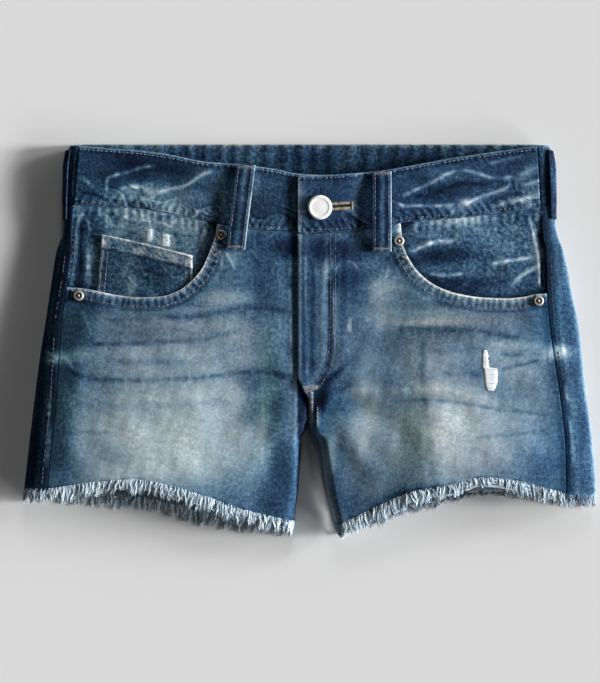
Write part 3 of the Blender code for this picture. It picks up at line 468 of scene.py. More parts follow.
def nearest(x, y, line):
    """Distance to a line of points, and how far along it the nearest point is."""
    best = np.full(np.shape(x), 1e9)
    place = np.zeros(np.shape(x))
    start = 0.0
    for (ax, ay), (bx, by) in zip(line, line[1:]):
        long = math.hypot(bx - ax, by - ay)
        t = np.clip(((x - ax) * (bx - ax) + (y - ay) * (by - ay)) / max(long, 1e-6) ** 2, 0, 1)
        away = np.hypot(x - mix(ax, bx, t), y - mix(ay, by, t))
        closer = away < best
        best = np.where(closer, away, best)
        place = np.where(closer, start + t * long, place)
        start += long
    return best, place, start


def worn_lines(table, x, y, column):
    """Ridge or wear of worn crease lines, thinner and fainter at their ends."""
    total = np.zeros(np.shape(x))
    for k, row in enumerate(table):
        line = spline(row.points)
        away, place, whole = nearest(x, y, line)
        taper = smooth(place / 6) * smooth((whole - place) / 6)
        uneven = 1 + 0.35 * wobble(place, k * 9.0, 9.0, k + 3)
        total = total + getattr(row, column) * taper * uneven * bell(away, row.width)
    return total


def front_height(half, x, y):
    """Height of the outer face of the front layer, with no overlap step."""
    d = half.side * x
    near = half.leg(y)
    far = half.seam(y)
    share = np.clip((d - near) / (far - near), 0, 1)
    inner = read(HEIGHTS, "y", "inner", y)
    mid = read(HEIGHTS, "y", "mid", y)
    side = read(HEIGHTS, "y", "side", y)
    level = smooth(share / 0.5)
    turn = np.clip((d - near) / 6.5, 0, 1)
    round_over = 0.74 * np.sqrt(np.maximum(0, 1.0 - (1.0 - turn) ** 2)) + 0.26 * level
    low = mix(inner, mid, mix(level, round_over, smooth((LEG_TOP - y) / 26)))
    high = mix(mid, side, smooth((share - 0.5) / 0.5))
    edge_fade = smooth((far - d) / 30) * np.where(np.greater(y, LEG_TOP), 1.0, smooth((d - near) / 22))
    return np.where(share >= 0.5, high, low) + folds(x, y) * edge_fade


def ripple(half, x, y):
    """Small uneven waves of worn cloth, none at the side seam."""
    calm = smooth((half.seam(y) - half.side * x) / 16)
    return (0.20 * wobble(x, y, 27.0, 5) + 0.07 * wobble(x, y, 9.0, 8)) * calm


def fly_step(half, x, y):
    """The right front lies over the left one along the fly and the waistband tab."""
    fade = smooth((y + 56) / 14)
    if half.side > 0:
        return 0.85 * smooth((34 - x) / 22) * fade
    return -0.95 * smooth((x + 30) / 18) * fade


def panel_height(half, x, y):
    smooth_part = front_height(half, x, y) + fly_step(half, x, y)
    return smooth_part + ripple(half, x, y) + worn_lines(PANEL_LINES, x, y, "rise")


def band_height(half, x, y, lines=True):
    """Outer face of the front waistband."""
    step = -1.15 * smooth((x + 32) / 18)
    if half.side > 0:
        step = 1.3 * smooth((46 - x) / 22)
    rise = front_height(half, x, y) + 0.4 + step + ripple(half, x, y)
    return rise + worn_lines(BAND_LINES, x, y, "rise") if lines else rise


def facing_height(half, x, y):
    """The pocket facing leaves the waist seam level and sinks behind the pocket mouth."""
    d = half.side * x
    waist = half.line("seam", d)
    mouth = read(half.mouth, "d", "y", d)
    share = (waist - y) / np.maximum(8.0, waist - mouth)
    beside = (half.mouth[1].d + 9 - d) / 6
    sunk = mix(0.2, half.plain.drop, smooth(np.maximum(share / 0.5, beside)))
    rise = front_height(half, x, y) - sunk + ripple(half, x, y)
    return rise + worn_lines(FACING_LINES, x, y, "rise") * smooth(share / 0.2)


def floor_height(y):
    """Underside of the back layer: on the table at the legs, above the pockets further up."""
    return 1.5 * smooth((y + 84) / 15)


def fold_point(half, y, turn):
    """Points of the side fold: turn 0 where it leaves the table, 1 at the side seam."""
    low = floor_height(y)
    high = read(HEIGHTS, "y", "side", y)
    middle = (low + high) / 2
    edge = half.edge(y)
    reach = edge - half.seam(y) - SEAM / 2
    below = math.pi * np.minimum(turn, 0.5)
    above = math.pi * (np.maximum(turn, 0.5) - 0.5)
    d = edge - FOLD_FOOT * (1 - np.sin(below)) - reach * (1 - np.cos(above))
    z = middle - (middle - low) * np.cos(below) + (high - middle) * np.sin(above)
    return np.stack(np.broadcast_arrays(half.side * d, y, z), -1)


def unit(vectors):
    return vectors / np.maximum(np.linalg.norm(vectors, axis=-1, keepdims=True), 1e-9)


def normals_of(grid, flip):
    """Outward directions of a grid of outer points."""
    down = np.gradient(grid, axis=0)
    across = np.gradient(grid, axis=1)
    out = unit(np.cross(down, across))
    return -out if flip else out


# Rings that round a folded edge: distance in from the edge and how far the
# face drops there, both as shares of half the cloth's thickness
RoundRow = namedtuple("RoundRow", "way drop")
ROUND = [RoundRow(0.0, 0.86), RoundRow(0.15, 0.46), RoundRow(0.5, 0.13), RoundRow(1.0, 0.0)]


def rounded_rows(grid, radius):
    """The grid with rings added beside its first row, and each row's drop."""
    gap = np.linalg.norm(grid[1, :, :3] - grid[0, :, :3], axis=1).mean()
    added = [mix(grid[0], grid[1], min(0.85, ring.way * radius / gap)) for ring in ROUND[1:]]
    drops = [ring.drop * radius for ring in ROUND] + [0.0] * (len(grid) - 1)
    return np.concatenate([grid[:1], added, grid[1:]]), np.array(drops)


def placed(name, data):
    """An object in the scene."""
    thing = bpy.data.objects.new(name, data)
    bpy.context.scene.collection.objects.link(thing)
    return thing


def set_mesh(name, points, faces, material, fields=None, cloth=None):
    """A mesh object in millimetres, with number fields on its points."""
    mesh = bpy.data.meshes.new(name)
    mesh.from_pydata((points * MM).tolist(), [], faces)
    mesh.update()
    mesh.polygons.foreach_set("use_smooth", [True] * len(mesh.polygons))
    for key, values in (fields or {}).items():
        made = mesh.attributes.new(key, "FLOAT", "POINT")
        made.data.foreach_set("value", np.asarray(values, np.float32).ravel())
    if cloth is not None:
        corner = np.zeros(len(mesh.loops), np.int32)
        mesh.loops.foreach_get("vertex_index", corner)
        layer = mesh.uv_layers.new(name="cloth")
        layer.data.foreach_set("uv", cloth[corner].astype(np.float32).ravel())
    mesh.materials.append(material)
    return placed(name, mesh)


def shell(node, outer, thickness, material, wear, tone, flip=False, fold="tblr", bent=False,
          lined=False):
    """Thin closed cloth from a grid of outer points: rows go down and columns outwards.

    fold names the sides that are turned edges (top, bottom, left for the first
    column, right for the last); the others are cut straight.
    """
    plan = outer[..., :2]
    grid = np.concatenate([outer, wear[..., None], tone[..., None], plan], axis=2)
    radius = thickness / 2
    drops = []
    for first, last in ("tb", "lr"):
        ends = [np.zeros(len(grid)), np.zeros(len(grid))]
        if first in fold:
            grid, ends[0] = rounded_rows(grid, radius)
        if last in fold:
            turned, ends[1] = rounded_rows(grid[::-1], radius)
            grid = turned[::-1]
        longer = [np.concatenate([end, np.zeros(len(grid) - len(end))]) for end in ends]
        drops.append(np.maximum(longer[0], longer[1][::-1]))
        grid = grid.transpose(1, 0, 2)
    row_drop, column_drop = drops
    drop = np.maximum(row_drop[:, None], column_drop[None, :])[..., None]
    place = grid[..., :3]
    out = normals_of(place, flip)
    tall, wide = place.shape[:2]
    points = np.concatenate([(place - out * drop).reshape(-1, 3),
                             (place - out * (thickness - drop)).reshape(-1, 3)])
    index = np.arange(tall * wide).reshape(tall, wide)
    quads = np.stack([index[:-1, :-1], index[1:, :-1], index[1:, 1:], index[:-1, 1:]], -1).reshape(-1, 4)
    border = np.concatenate([index[0], index[1:, -1], index[-1, -2::-1], index[-2:0:-1, 0]])
    after = np.roll(border, -1)
    rim = np.stack([border, after, after + tall * wide, border + tall * wide], -1)
    if flip:
        quads, rim = quads[:, ::-1], rim[:, ::-1]
    faces = np.concatenate([quads, quads[:, ::-1] + tall * wide, rim]).tolist()
    both = [np.concatenate([grid[..., k].ravel()] * 2) for k in (3, 4)]
    inside = np.repeat([0.0, 0.0 if lined else 1.0], tall * wide)
    cloth = grid[..., 5:7]
    if bent:  # lengths over the fold, so that the weave isn't stretched there
        steps = np.linalg.norm(np.diff(place, axis=1), axis=2).mean(0)
        cloth = plan_points(np.concatenate([[0], np.cumsum(steps)])[None, :], place[..., 1])
    cloth = np.concatenate([cloth.reshape(-1, 2)] * 2)
    fields = {"wear": both[0], "tone": both[1], "inside": inside}
    for key in ("warm", "green"):
        cast = spots(HUES, grid[..., 5], grid[..., 6], key)
        fields[key] = np.concatenate([cast.ravel()] * 2)
    return set_mesh(node + "_cloth", points, faces, material, fields, cloth)


def tubes(name, paths, up, radii, material, sides, flat, shade):
    """Joined thin closed tubes along paths of the same count of points."""
    paths = np.asarray(paths, float)
    count, steps = paths.shape[:2]
    up = np.broadcast_to(np.asarray(up, float), paths.shape)
    along = unit(np.gradient(paths, axis=1))
    side = unit(np.cross(along, up))
    top = np.cross(side, along)
    turn = (np.arange(sides) + 0.5) * math.tau / sides
    radii = np.broadcast_to(radii, (count, steps))[..., None, None]
    ring = np.cos(turn)[:, None] * side[:, :, None, :] + flat * np.sin(turn)[:, None] * top[:, :, None, :]
    points = (paths[:, :, None, :] + radii * ring).reshape(-1, 3)
    index = np.arange(len(points)).reshape(count, steps, sides)
    after = np.roll(index, -1, axis=2)
    walls = np.stack([index[:, :-1], after[:, :-1], after[:, 1:], index[:, 1:]], -1).reshape(-1, 4)
    caps = []
    for k in range(1, sides - 1, 2):
        caps.append(index[:, 0][:, [0, k + 2, k + 1, k]])
        caps.append(index[:, -1][:, [0, k, k + 1, k + 2]])
    faces = np.concatenate([walls] + caps)[:, ::-1].tolist()
    shades = np.repeat(np.broadcast_to(shade, (count, steps)), sides)
    return set_mesh(name, points, faces, material, {"shade": shades})


# Materials

def add(tree, kind, inputs=(), **settings):
    """A shader node with its inputs set or linked."""
    node = tree.nodes.new(kind)
    for key, value in settings.items():
        setattr(node, key, value)
    for key, value in dict(inputs).items():
        if isinstance(value, bpy.types.NodeSocket):
            tree.links.new(value, node.inputs[key])
        else:
            node.inputs[key].default_value = value
    return node


def sums(tree, operation, a, b=0.0):
    return add(tree, "ShaderNodeMath", {0: a, 1: b}, operation=operation).outputs[0]


def weighed(tree, *parts):
    """The sum of (socket, weight) pairs."""
    total = 0.0
    for socket, weight in parts:
        total = sums(tree, "ADD", total, sums(tree, "MULTIPLY", socket, weight))
    return total


def ranged(tree, value, *limits):
    """A value taken from one range to another: from low, from high, to low, to high."""
    return add(tree, "ShaderNodeMapRange", dict(enumerate((value, *limits)))).outputs[0]


def field(tree, key):
    """A number that the mesh holds at its points."""
    return add(tree, "ShaderNodeAttribute", attribute_name=key).outputs["Fac"]


def linear(red, green, blue):
    """Scene colour of a tone given as 0 to 255."""
    shares = [c / 255.0 for c in (red, green, blue)]
    return tuple(c / 12.92 if c <= 0.04045 else ((c + 0.055) / 1.055) ** 2.4 for c in shares) + (1.0,)


def new_material(name, roughness, metallic=0.0, sheen=0.0, specular=0.5):
    made = bpy.data.materials.new(name)
    made.use_nodes = True
    tree = made.node_tree
    shader = tree.nodes["Principled BSDF"]
    for key, value in (("Roughness", roughness), ("Metallic", metallic), ("Sheen Weight", sheen),
                       ("Sheen Roughness", 0.5), ("Specular IOR Level", specular)):
        shader.inputs[key].default_value = value
    return made, tree, shader


def ramp(tree, share, stops):
    node = add(tree, "ShaderNodeValToRGB", {"Fac": share})
    band = node.color_ramp
    while len(band.elements) > 2:
        band.elements.remove(band.elements[-1])
    for k, (place, tone) in enumerate(stops):
        stop = band.elements[k] if k < 2 else band.elements.new(place)
        stop.position = place
        stop.color = linear(*tone)
    return node.outputs["Color"]


INDIGO = ((0.0, (9, 15, 30)), (1.0, (226, 234, 236)), (0.15, (17, 33, 56)), (0.30, (33, 58, 84)),
          (0.45, (58, 88, 116)), (0.60, (92, 122, 144)), (0.75, (132, 156, 171)),
          (0.88, (170, 188, 197)))
WEFT = ((0.0, (44, 58, 74)), (1.0, (190, 200, 204)), (0.4, (84, 102, 116)))
# What each cast multiplies the colour by, over 0 and under 0
CASTS = (
    ("tone", 1.0, (1.0, 0.98, 0.88, 1.0)), ("tone", -1.0, (1.06, 0.94, 1.03, 1.0)),
    ("warm", 1.0, (1.22, 1.0, 0.82, 1.0)), ("warm", -1.0, (0.82, 1.0, 1.22, 1.0)),
    ("green", 1.0, (0.88, 1.12, 0.88, 1.0)), ("green", -1.0, (1.08, 0.90, 1.08, 1.0)),
)
TWILL_ACROSS, TWILL_DOWN = 5.6, 3.4  # radians a millimetre


def denim(name, grain, mottle, inner_tone):
    """Twill with wear, cast and inner side read from the mesh, and yarn detail from noise."""
    made, tree, shader = new_material(name, 0.88, sheen=0.01, specular=0.06)
    cloth = add(tree, "ShaderNodeUVMap", uv_map="cloth").outputs["UV"]

    def noise(scale, detail, *stretch):
        stretch = (stretch or (1.0, 1.0)) + (1.0,)
        place = add(tree, "ShaderNodeVectorMath", {0: cloth, 1: stretch}, operation="MULTIPLY").outputs[0]
        node = add(tree, "ShaderNodeTexNoise", {"Vector": place, "Scale": scale, "Detail": detail})
        return sums(tree, "SUBTRACT", node.outputs["Fac"], 0.5)

    specks, slubs = noise(0.95, 3.0), noise(1.0, 2.0, 1.5, 0.11)
    flecks, weft, clouds = noise(0.40, 2.0), noise(1.0, 2.0, 0.16, 1.5), noise(0.10, 3.0)
    wear = field(tree, "wear")
    middle = weighed(tree, (specks, 0.56 * grain), (flecks, mottle), (slubs, 0.30 * grain),
                     (weft, 0.16 * grain), (clouds, 0.16))
    # Raw cloth shows less of the white weft than worn cloth, and bleached cloth is calmer
    showing = sums(tree, "MULTIPLY", ranged(tree, wear, 0.0, 0.5, 0.62, 1.0),
                   ranged(tree, wear, 0.42, 0.80, 1.0, 0.50))
    share = weighed(tree, (wear, 1.0), (middle, showing))
    colour = ramp(tree, share, INDIGO)

    def blend(fact, first, second, kind="MIX"):
        node = add(tree, "ShaderNodeMix", {"Factor": fact, 6: first, 7: second}, data_type="RGBA",
                   blend_type=kind)
        return node.outputs[2]

    for key, sign, cast in CASTS:
        much = sums(tree, "MULTIPLY", field(tree, key), sign)
        much.node.use_clamp = True
        colour = blend(much, colour, cast, "MULTIPLY")
    back = ramp(tree, sums(tree, "ADD", sums(tree, "MULTIPLY", middle, 1.2), inner_tone), WEFT)
    tree.links.new(blend(field(tree, "inside"), colour, back), shader.inputs["Base Color"])
    # Twill lines, about 1 mm apart, with slubs and specks in their height
    parts = add(tree, "ShaderNodeSeparateXYZ", {0: cloth}).outputs
    twill = sums(tree, "SINE", weighed(tree, (parts[0], TWILL_ACROSS), (parts[1], TWILL_DOWN)))
    relief(tree, shader, weighed(tree, (twill, 0.28), (slubs, 1.2), (specks, 1.5)), 0.4, 0.00016)
    tree.links.new(ranged(tree, share, 0.0, 1.0, 0.80, 0.94), shader.inputs["Roughness"])
    return made


def relief(tree, shader, height, strength, deep):
    bump = add(tree, "ShaderNodeBump", {"Height": height, "Strength": strength, "Distance": deep})
    tree.links.new(bump.outputs[0], shader.inputs["Normal"])


def speckled(tree, shader, dark, pale, scale, detail, much):
    """Colour by the mesh's own shade and by noise; gives the noise and the share of pale."""
    place = add(tree, "ShaderNodeNewGeometry").outputs["Position"]
    noise = add(tree, "ShaderNodeTexNoise", {"Vector": place, "Scale": scale, "Detail": detail})
    noise = noise.outputs["Fac"]
    share = weighed(tree, (field(tree, "shade"), 1.0), (sums(tree, "SUBTRACT", noise, 0.5), much))
    tree.links.new(ramp(tree, share, ((0.0, dark), (1.0, pale))), shader.inputs["Base Color"])
    return noise, share


def yarn(name, dark, pale, roughness=0.85):
    """Cotton thread with a fine twist."""
    made, tree, shader = new_material(name, roughness, sheen=0.03, specular=0.1)
    noise, _share = speckled(tree, shader, dark, pale, 1500.0, 2.0, 0.7)
    relief(tree, shader, noise, 0.3, 0.00008)
    return made


def metal(name, dark, pale, roughness, metallic):
    """Metal with tarnish in its hollows and small scratches."""
    made, tree, shader = new_material(name, roughness, metallic)
    noise, share = speckled(tree, shader, dark, pale, 900.0, 4.0, 0.6)
    tree.links.new(ranged(tree, share, 0.0, 1.0, roughness + 0.25, roughness), shader.inputs["Roughness"])
    relief(tree, shader, noise, 0.2, 0.00005)
    return made


WASHED = denim("worn_denim", 0.88, 0.50, 0.45)
# Worn denim with a paler inside: painted light for the right back's inside, which shows in shade through
# the leg opening
DENIM_PAINTED_LIGHT_INSIDE = denim("seat_denim", 1.0, 0.45, 0.85)
SOFT = denim("soft_denim", 0.74, 0.46, 0.45)
DARK = denim("deep_denim", 0.82, 0.85, 0.25)
FLOOR = new_material("pale_floor", 0.9)[0]
FLOOR.node_tree.nodes["Principled BSDF"].inputs["Base Color"].default_value = (0.8, 0.8, 0.8, 1.0)
FRAY = yarn("frayed_yarn", (116, 141, 166), (212, 227, 237), 0.9)
PALE_THREAD = yarn("pale_thread", (78, 88, 110), (158, 168, 184))
TAN_THREAD = yarn("tan_thread", (66, 68, 84), (148, 146, 152))
GOLD_THREAD = yarn("gold_thread", (104, 98, 84), (190, 180, 152))
WHITE_THREAD = yarn("white_weft", (142, 170, 192), (246, 249, 250), 0.9)
CROTCH_THREAD = yarn("crotch_thread", (62, 60, 84), (204, 200, 200))
RIVET_METAL = metal("rivet_metal", (44, 42, 40), (204, 200, 192), 0.42, 0.60)
BUTTON_METAL = metal("button_enamel", (176, 180, 182), (252, 253, 252), 0.45, 0.0)


# Cloth pieces

def even_shares(curves, cell):
    """Shares from 0 to 1 along which none of the curves steps much further than cell."""
    fine = np.linspace(0, 1, 600)
    step = np.max([np.linalg.norm(np.diff(curve(fine), axis=0), axis=1) for curve in curves], axis=0)
    lengths = np.concatenate([[0], np.cumsum(step)])
    count = int(math.ceil(lengths[-1] / cell))
    return np.interp(np.linspace(0, lengths[-1], count + 1), lengths, fine)


def coons(top, bottom, inner, outer, cell):
    """A grid in plan between four border curves that take shares and return points."""
    u = even_shares((top, bottom), cell)
    v = even_shares((inner, outer), cell)
    across, down = u[None, :, None], v[:, None, None]
    high, low = top(u)[None], bottom(u)[None]
    near, far = inner(v)[:, None], outer(v)[:, None]
    ruled = mix(high, low, down) + mix(near, far, across)
    corners = mix(mix(high[:, :1], high[:, -1:], across), mix(low[:, :1], low[:, -1:], across), down)
    return ruled - corners


def relaxed(plan, rounds):
    """The grid evened out inside its borders, so that no cell folds over."""
    plan = plan.copy()
    for _ in range(rounds):
        plan[1:-1, 1:-1] = (plan[:-2, 1:-1] + plan[2:, 1:-1] + plan[1:-1, :-2] + plan[1:-1, 2:]) / 4
    return plan


def plan_points(x, y):
    return np.stack(np.broadcast_arrays(x, y), -1).astype(float)


MOUTH_Y = 38.0  # where the pocket mouth meets the side seam


def mouth_line(half):
    """Points of the pocket mouth's edge in plan."""
    d = np.linspace(half.corner, half.reach(MOUTH_Y), 90)
    return [(half.side * a, b) for a, b in zip(d, read(half.mouth, "d", "y", d))]


# Scuffs at the side folds, on whatever cloth is there
SCUFFS = table_of(FadeRow, (
    (-182.5, -11, 14, 9, 4.6, 0.3, -0.1), (-176, -13, 60, 5, 3, 0.1), (180, -8, 0, 11, 5.4, 0.32, -0.1),
    (170, -10, 80, 7, 3, 0.08), (184, 56, 84, 22, 3, 0.14), (183, 84, 10, 5, 5, 0.22, -0.3),
    (172, 138, -30, 8, 5, 0.22),
))


def roping(place, away, reach):
    """Light and dark ticks beside a stitched edge, where the layers pull."""
    ticks = np.sin(place * math.tau / 4.6 + 1.8 * wobble(place, 0 * place, 17.0, 21, 4))
    return ticks * smooth(away / 1.5) * smooth((reach - away) / 2.0)


def front_wear(half, x, y):
    base = half.plain.panel + 0.025 * wobble(x, y, 34.0, 12)
    wear = base + spots(half.fades, x, y, "wear", 1.5)
    wear = wear + spots(half.whiskers, x, y, "wear")
    wear = wear + spots(SCUFFS, x, y, "wear", 1.5)
    wear = wear + worn_lines(PANEL_LINES, x, y, "wear")
    tone = spots(half.fades, x, y, "tone", 1.2)
    tone = tone + 0.5 * spots(half.whiskers, x, y, "tone")
    return wear, np.clip(tone + 0.10 * wobble(x, y, 40.0, 33), -1, 1)


PANEL_CELL, FACING_CELL = 1.45, 1.2  # mesh cells of the front panel and its facing
# Worn and dark strokes where the legs and the fly meet
CROTCH = table_of(FadeRow, (
    (1.2, -48, 90, 17, 2, 0.42, -0.3), (6.4, -54, 82, 9, 1.5, 0.26, -0.3), (4, -50, 86, 13, 1, -0.24, -0.3),
    (8.8, -44, 84, 9, 3, -0.22, -0.4), (0, -33.4, 8, 8, 2, 0.46, 0.2), (-5, -37, 0, 3, 3, 0.16, -0.9),
    (13, -27, 40, 12, 2, -0.06), (8, -31, 20, 5, 1.6, 0.18, 0.6),
))
# Fly stitching: down beside the fly, then round to its end
FLY_LINE = ((16.6, 77), (16.8, 50), (16.6, 20), (16, -2), (13.6, -16), (9.2, -26), (3.6, -32.5),
            (0.4, -35))


def front_panel(half):
    s = half.side
    start = half.inner(WAIST_Y)
    turn = 0.415  # share of the top edge that lies along the waistband

    def top(u):
        share = np.clip((u - turn) / (1 - turn), 0, 1)
        d = np.where(u <= turn, mix(start, half.corner, u / turn),
                     mix(half.corner, half.reach(MOUTH_Y), share**1.25))
        waist = half.line("seam", d) - SEAM / 2
        y = np.where(u <= turn, waist, np.minimum(read(half.mouth, "d", "y", d), waist))
        return plan_points(s * d, y)

    def bottom(u):
        d = mix(half.inner(half.plain.hem_y), half.reach(SIDE_HEM_Y), u)
        return plan_points(s * d, half.line("hem", d))

    ends = [curve(np.array([0.0, 1.0]))[:, 1] for curve in (top, bottom)]

    def inner(v):
        y = mix(ends[0][0], ends[1][0], v)
        return plan_points(s * half.inner(y), y)

    def outer(v):
        y = mix(ends[0][1], ends[1][1], v)
        return plan_points(s * half.reach(y), y)

    plan = relaxed(coons(top, bottom, inner, outer, PANEL_CELL), 120)
    x, y = plan[..., 0], plan[..., 1]
    wear, tone = front_wear(half, x, y)
    away, place, _whole = nearest(x, y, mouth_line(half))
    ticks = roping(place, away, 8.5)
    beside = smooth((8.6 - away) / 1.2) * smooth((away - 0.6) / 1.4)
    mottled = half.plain.band + 0.04 * wobble(x, y, 12.0, 19) + 0.05 * wobble(x, y, 3.4, 20)
    wear = mix(wear, mottled, 0.75 * beside)
    wear += bell(away, 2.4, 0.46) - bell(away - 9.4, 1.0, 0.16) + 0.13 * ticks
    tone = mix(tone, half.plain.band_tone, smooth((9 - away) / 3))
    waist = half.line("seam", s * x) - y
    fine = creases(x * 1.3, y * 0.8, 26.0, 111) * smooth((46 - waist) / 20)
    fine = fine + 0.6 * creases(x * 0.6, y * 1.4, 34.0, 113) * (0.2 + 0.8 * smooth((70 - waist) / 30))
    wear += 0.10 * fine
    side = half.seam(y) - s * x
    wear -= bell(side, 5.0, 0.16)
    hem = y - plan[-1:, :, 1]
    # A painted shadow line just inside the raw hem, under its cut edge
    wear -= bell(hem - 1.5, 1.0, 0.30) * smooth(0.4 + 0.8 * wobble(x, y, 9.0, 27))
    rise = 0.13 * ticks - 0.10 * roping(y * 1.3, side, 7.0)
    if s > 0:
        fly = x - TAB_END
        upper = smooth((y + 36) / 8)
        wear += upper * (bell(fly, 1.5, 0.42) - bell(fly - 4.4, 1.4, 0.14))
        tone = tone - upper * bell(fly - 2.4, 2.4, 0.50)
        rise += 0.2 * upper * (smooth(fly / 2.0) - 1)
        jay, _place, _whole = nearest(x, y, spline(FLY_LINE))
        rise -= bell(jay - 2.0, 2.2, 0.28)
        wear += bell(jay - 4.5, 2.0, 0.06) - bell(jay, 1.6, 0.05)
        wear += spots(CROTCH, x, y, "wear", 1.6)
        tone = tone + spots(CROTCH, x, y, "tone", 1.6)
    else:
        inseam = -x - half.inner(y)
        wear -= smooth((y + 30) / 14) * bell(inseam - 9, 9.0, 0.14)
        # Deep violet cloth where this front passes under the fly's end
        under = smooth((x + 9.0) / 1.2) * smooth((-22 - y) / 5) * smooth((y + 72) / 8)
        wear = mix(wear, 0.12, under) + bell(x + 9.8, 1.1, 0.16) * smooth((-20 - y) / 6)
        tone = mix(tone, -0.6, under)
    low = smooth((-60 - y) / 8)
    leg = s * x - half.leg(y)
    # Painted light on the right leg's inner wall, which lies in shade from the lamps; the left leg's inseam
    # edge is made darker
    wear += low * bell(leg, 4.5, 0.40 if s > 0 else -0.22)
    grid = np.stack([x, y, panel_height(half, x, y) + rise], -1)
    return shell("front_panel_" + half.name, grid, DENIM, SOFT, wear, tone, flip=s < 0, fold="tlr"), grid


def strip_plan(half, near, far, above, below, cell):
    """A grid in plan for a piece that runs across the front."""
    mid = np.linspace(near, far, 60)
    length = abs(far - near)
    tall = np.max(above(mid) - below(mid))
    d = np.linspace(near, far, int(length / cell) + 1)[None, :]
    v = shares_down(int(tall / cell) + 1)
    y = mix(above(d), below(d), v)
    return np.minimum(d, half.reach(y)), y


FACING_FADES = table_of(FadeRow, (
    (-112, 90, -5, 52, 7.5, 0.01, 0.05), (-94, 84, -6, 26, 8, 0.15, 0.05),
    (-158, 84, 0, 12, 10, -0.36, -0.2), (-78, 66, 70, 16, 5, 0.1), (104, 80, 4, 40, 8, 0.09, 0.1),
    (140, 78, 0, 26, 16, 0.04, 0.2), (98, 62, 6, 30, 6, -0.3, -0.1), (106, 42, 0, 34, 6, -0.23, -0.3),
    (136, 50, 0, 16, 9, -0.02, 0.8), (160, 46, 60, 12, 6, -0.08, -0.1), (128, 66, 6, 34, 5, 0.08, 0.2),
    (165, 60, 90, 16, 5, 0.12, -0.1), (-166, 52, 86, 22, 5, -0.41), (-150, 86, 0, 10, 6, 0.18, 0.1),
    (106, 88, 4, 24, 4, 0.33), (-100, 58, 80, 10, 4, 0.2), (-63, 78, 90, 8, 5, 0.18),
    (72, 80, 0, 8, 5, 0.08), (-129, 84, 0, 8, 4, 0.12), (153, 88, 0, 9, 5, -0.12),
    (-115.4, 77.6, 90, 6.5, 4.2, 0.34), (-103.8, 73.7, 90, 5.5, 5, 0.34),
))


def pocket_facing(half):
    s = half.side
    d, y = strip_plan(half, 57.0, half.seam(60.0) + 3,
                      lambda d: half.line("seam", d) - SEAM / 2,
                      lambda d: read(half.mouth, "d", "facing", d), FACING_CELL)
    x = s * d
    wear = half.plain.facing + 0.03 * wobble(x, y, 20.0, 14)
    wear = wear + spots(FACING_FADES, x, y, "wear", 1.5)
    lines = worn_lines(FACING_LINES, x, y, "wear")
    wear = wear + 1.1 * lines
    tone = np.clip(spots(FACING_FADES, x, y, "tone", 1.2), -1, 1) - np.clip(1.5 * lines, 0, 0.5)
    away, _place, _whole = nearest(x, y, mouth_line(half))
    # Painted shade on the facing along the pocket mouth, where it sinks under the panel's edge
    wear -= bell(away, 3.6, 0.22)
    side = half.seam(y) - d
    wear += bell(side - 3.5, 1.2, 0.20) - bell(side, 1.6, 0.16)
    waist = half.line("seam", d) - y
    fine = creases(x * 0.8, y * 1.25, 24.0, 105) + 0.7 * creases(x, y, 14.0, 107)
    fine = fine * (0.4 + 0.6 * smooth((20 - waist) / 10))
    wear += 0.10 * roping(d * 0.8, waist, 9.0) + 0.17 * fine
    rise = 0.14 * roping(d * 0.8, waist, 9.0) + 0.16 * fine
    grid = np.stack([x, y, facing_height(half, x, y) + rise], -1)
    return shell("pocket_facing_" + half.name, grid, 1.0, DARK, wear, tone, flip=s < 0)


# Coin pocket on the left facing: its top and lower edges
CoinRow = namedtuple("CoinRow", "d top low")
COIN = table_of(CoinRow, (
    (84.2, 62.3, 42), (92, 64.2, 36.2), (104, 67.2, 31), (116, 70.2, 29.6), (128, 73, 30),
    (140, 75.6, 31.4), (149.4, 77.4, 33.4),
))
COIN_LEAN = 4.0  # how far its foot leans outwards at the side
COIN_BAND = 9.4  # height of the hem at its top
COIN_BASE = 0.347
COIN_FADES = table_of(FadeRow, (
    (-145.5, 70, 80, 7, 5, 0.07, -0.7), (-92, 60, 0, 9, 5, 0.15, -0.8),
    (-112, 64, -14, 22, 3.4, 0.12, -0.2), (-132, 54, 84, 14, 5, 0.13, 0.4), (-128, 40, 80, 9, 4, 0.28, 0.4),
    (-112, 50, 10, 10, 8, -0.09), (-92, 48, 80, 10, 5, 0.04, 0.2),
))


def coin_spot(d, y_share):
    """Plan and height of the coin pocket's outer face, by distance and share down."""
    top, low = read(COIN, "d", "top", d), read(COIN, "d", "low", d)
    lean = COIN_LEAN * y_share * (d - COIN[0].d) / (COIN[-1].d - COIN[0].d)
    x, y = -(d + lean), mix(top, low, y_share)
    hem = 0.40 * smooth((COIN_BAND + 0.5 - (top - y)) / 0.9)
    bulge = 0.35 * np.sin(math.pi * np.clip((d - 84) / 66, 0, 1))
    return x, y, facing_height(LEFT, x, y) + 1.25 + hem + bulge * smooth(y_share / 0.3)


def coin_pocket():
    d = np.linspace(COIN[0].d, COIN[-1].d, 64)[None, :]
    v = shares_down(42)
    x, y, z = coin_spot(d, v)
    down = read(COIN, "d", "top", d) - y
    wear = COIN_BASE + spots(COIN_FADES, x, y, "wear", 1.4) + 0.03 * wobble(x, y, 14.0, 41)
    wear += bell(down, 1.2, 0.42) - bell(down - COIN_BAND - 0.8, 1.1, 0.12)
    wear += bell(down - COIN_BAND + 0.8, 1.0, 0.10) + 0.06 * roping(d + down, down, COIN_BAND)
    ends = np.minimum(d - COIN[0].d, COIN[-1].d - d)
    wear += bell(ends, 1.5, 0.36) + 0.14 * creases(x, y, 18.0, 109)
    wear += 0.13 * smooth(COIN_BAND - down) * (1 + 0.9 * wobble(x, y, 9.0, 110))
    tone = np.clip(spots(COIN_FADES, x, y, "tone", 1.3), -1, 1)
    grid = np.stack(np.broadcast_arrays(x, y, z), -1)
    wear, tone = (np.broadcast_to(part, grid.shape[:2]) for part in (wear, tone))
    return shell("coin_pocket", grid, 0.9, DARK, wear, tone, flip=True)


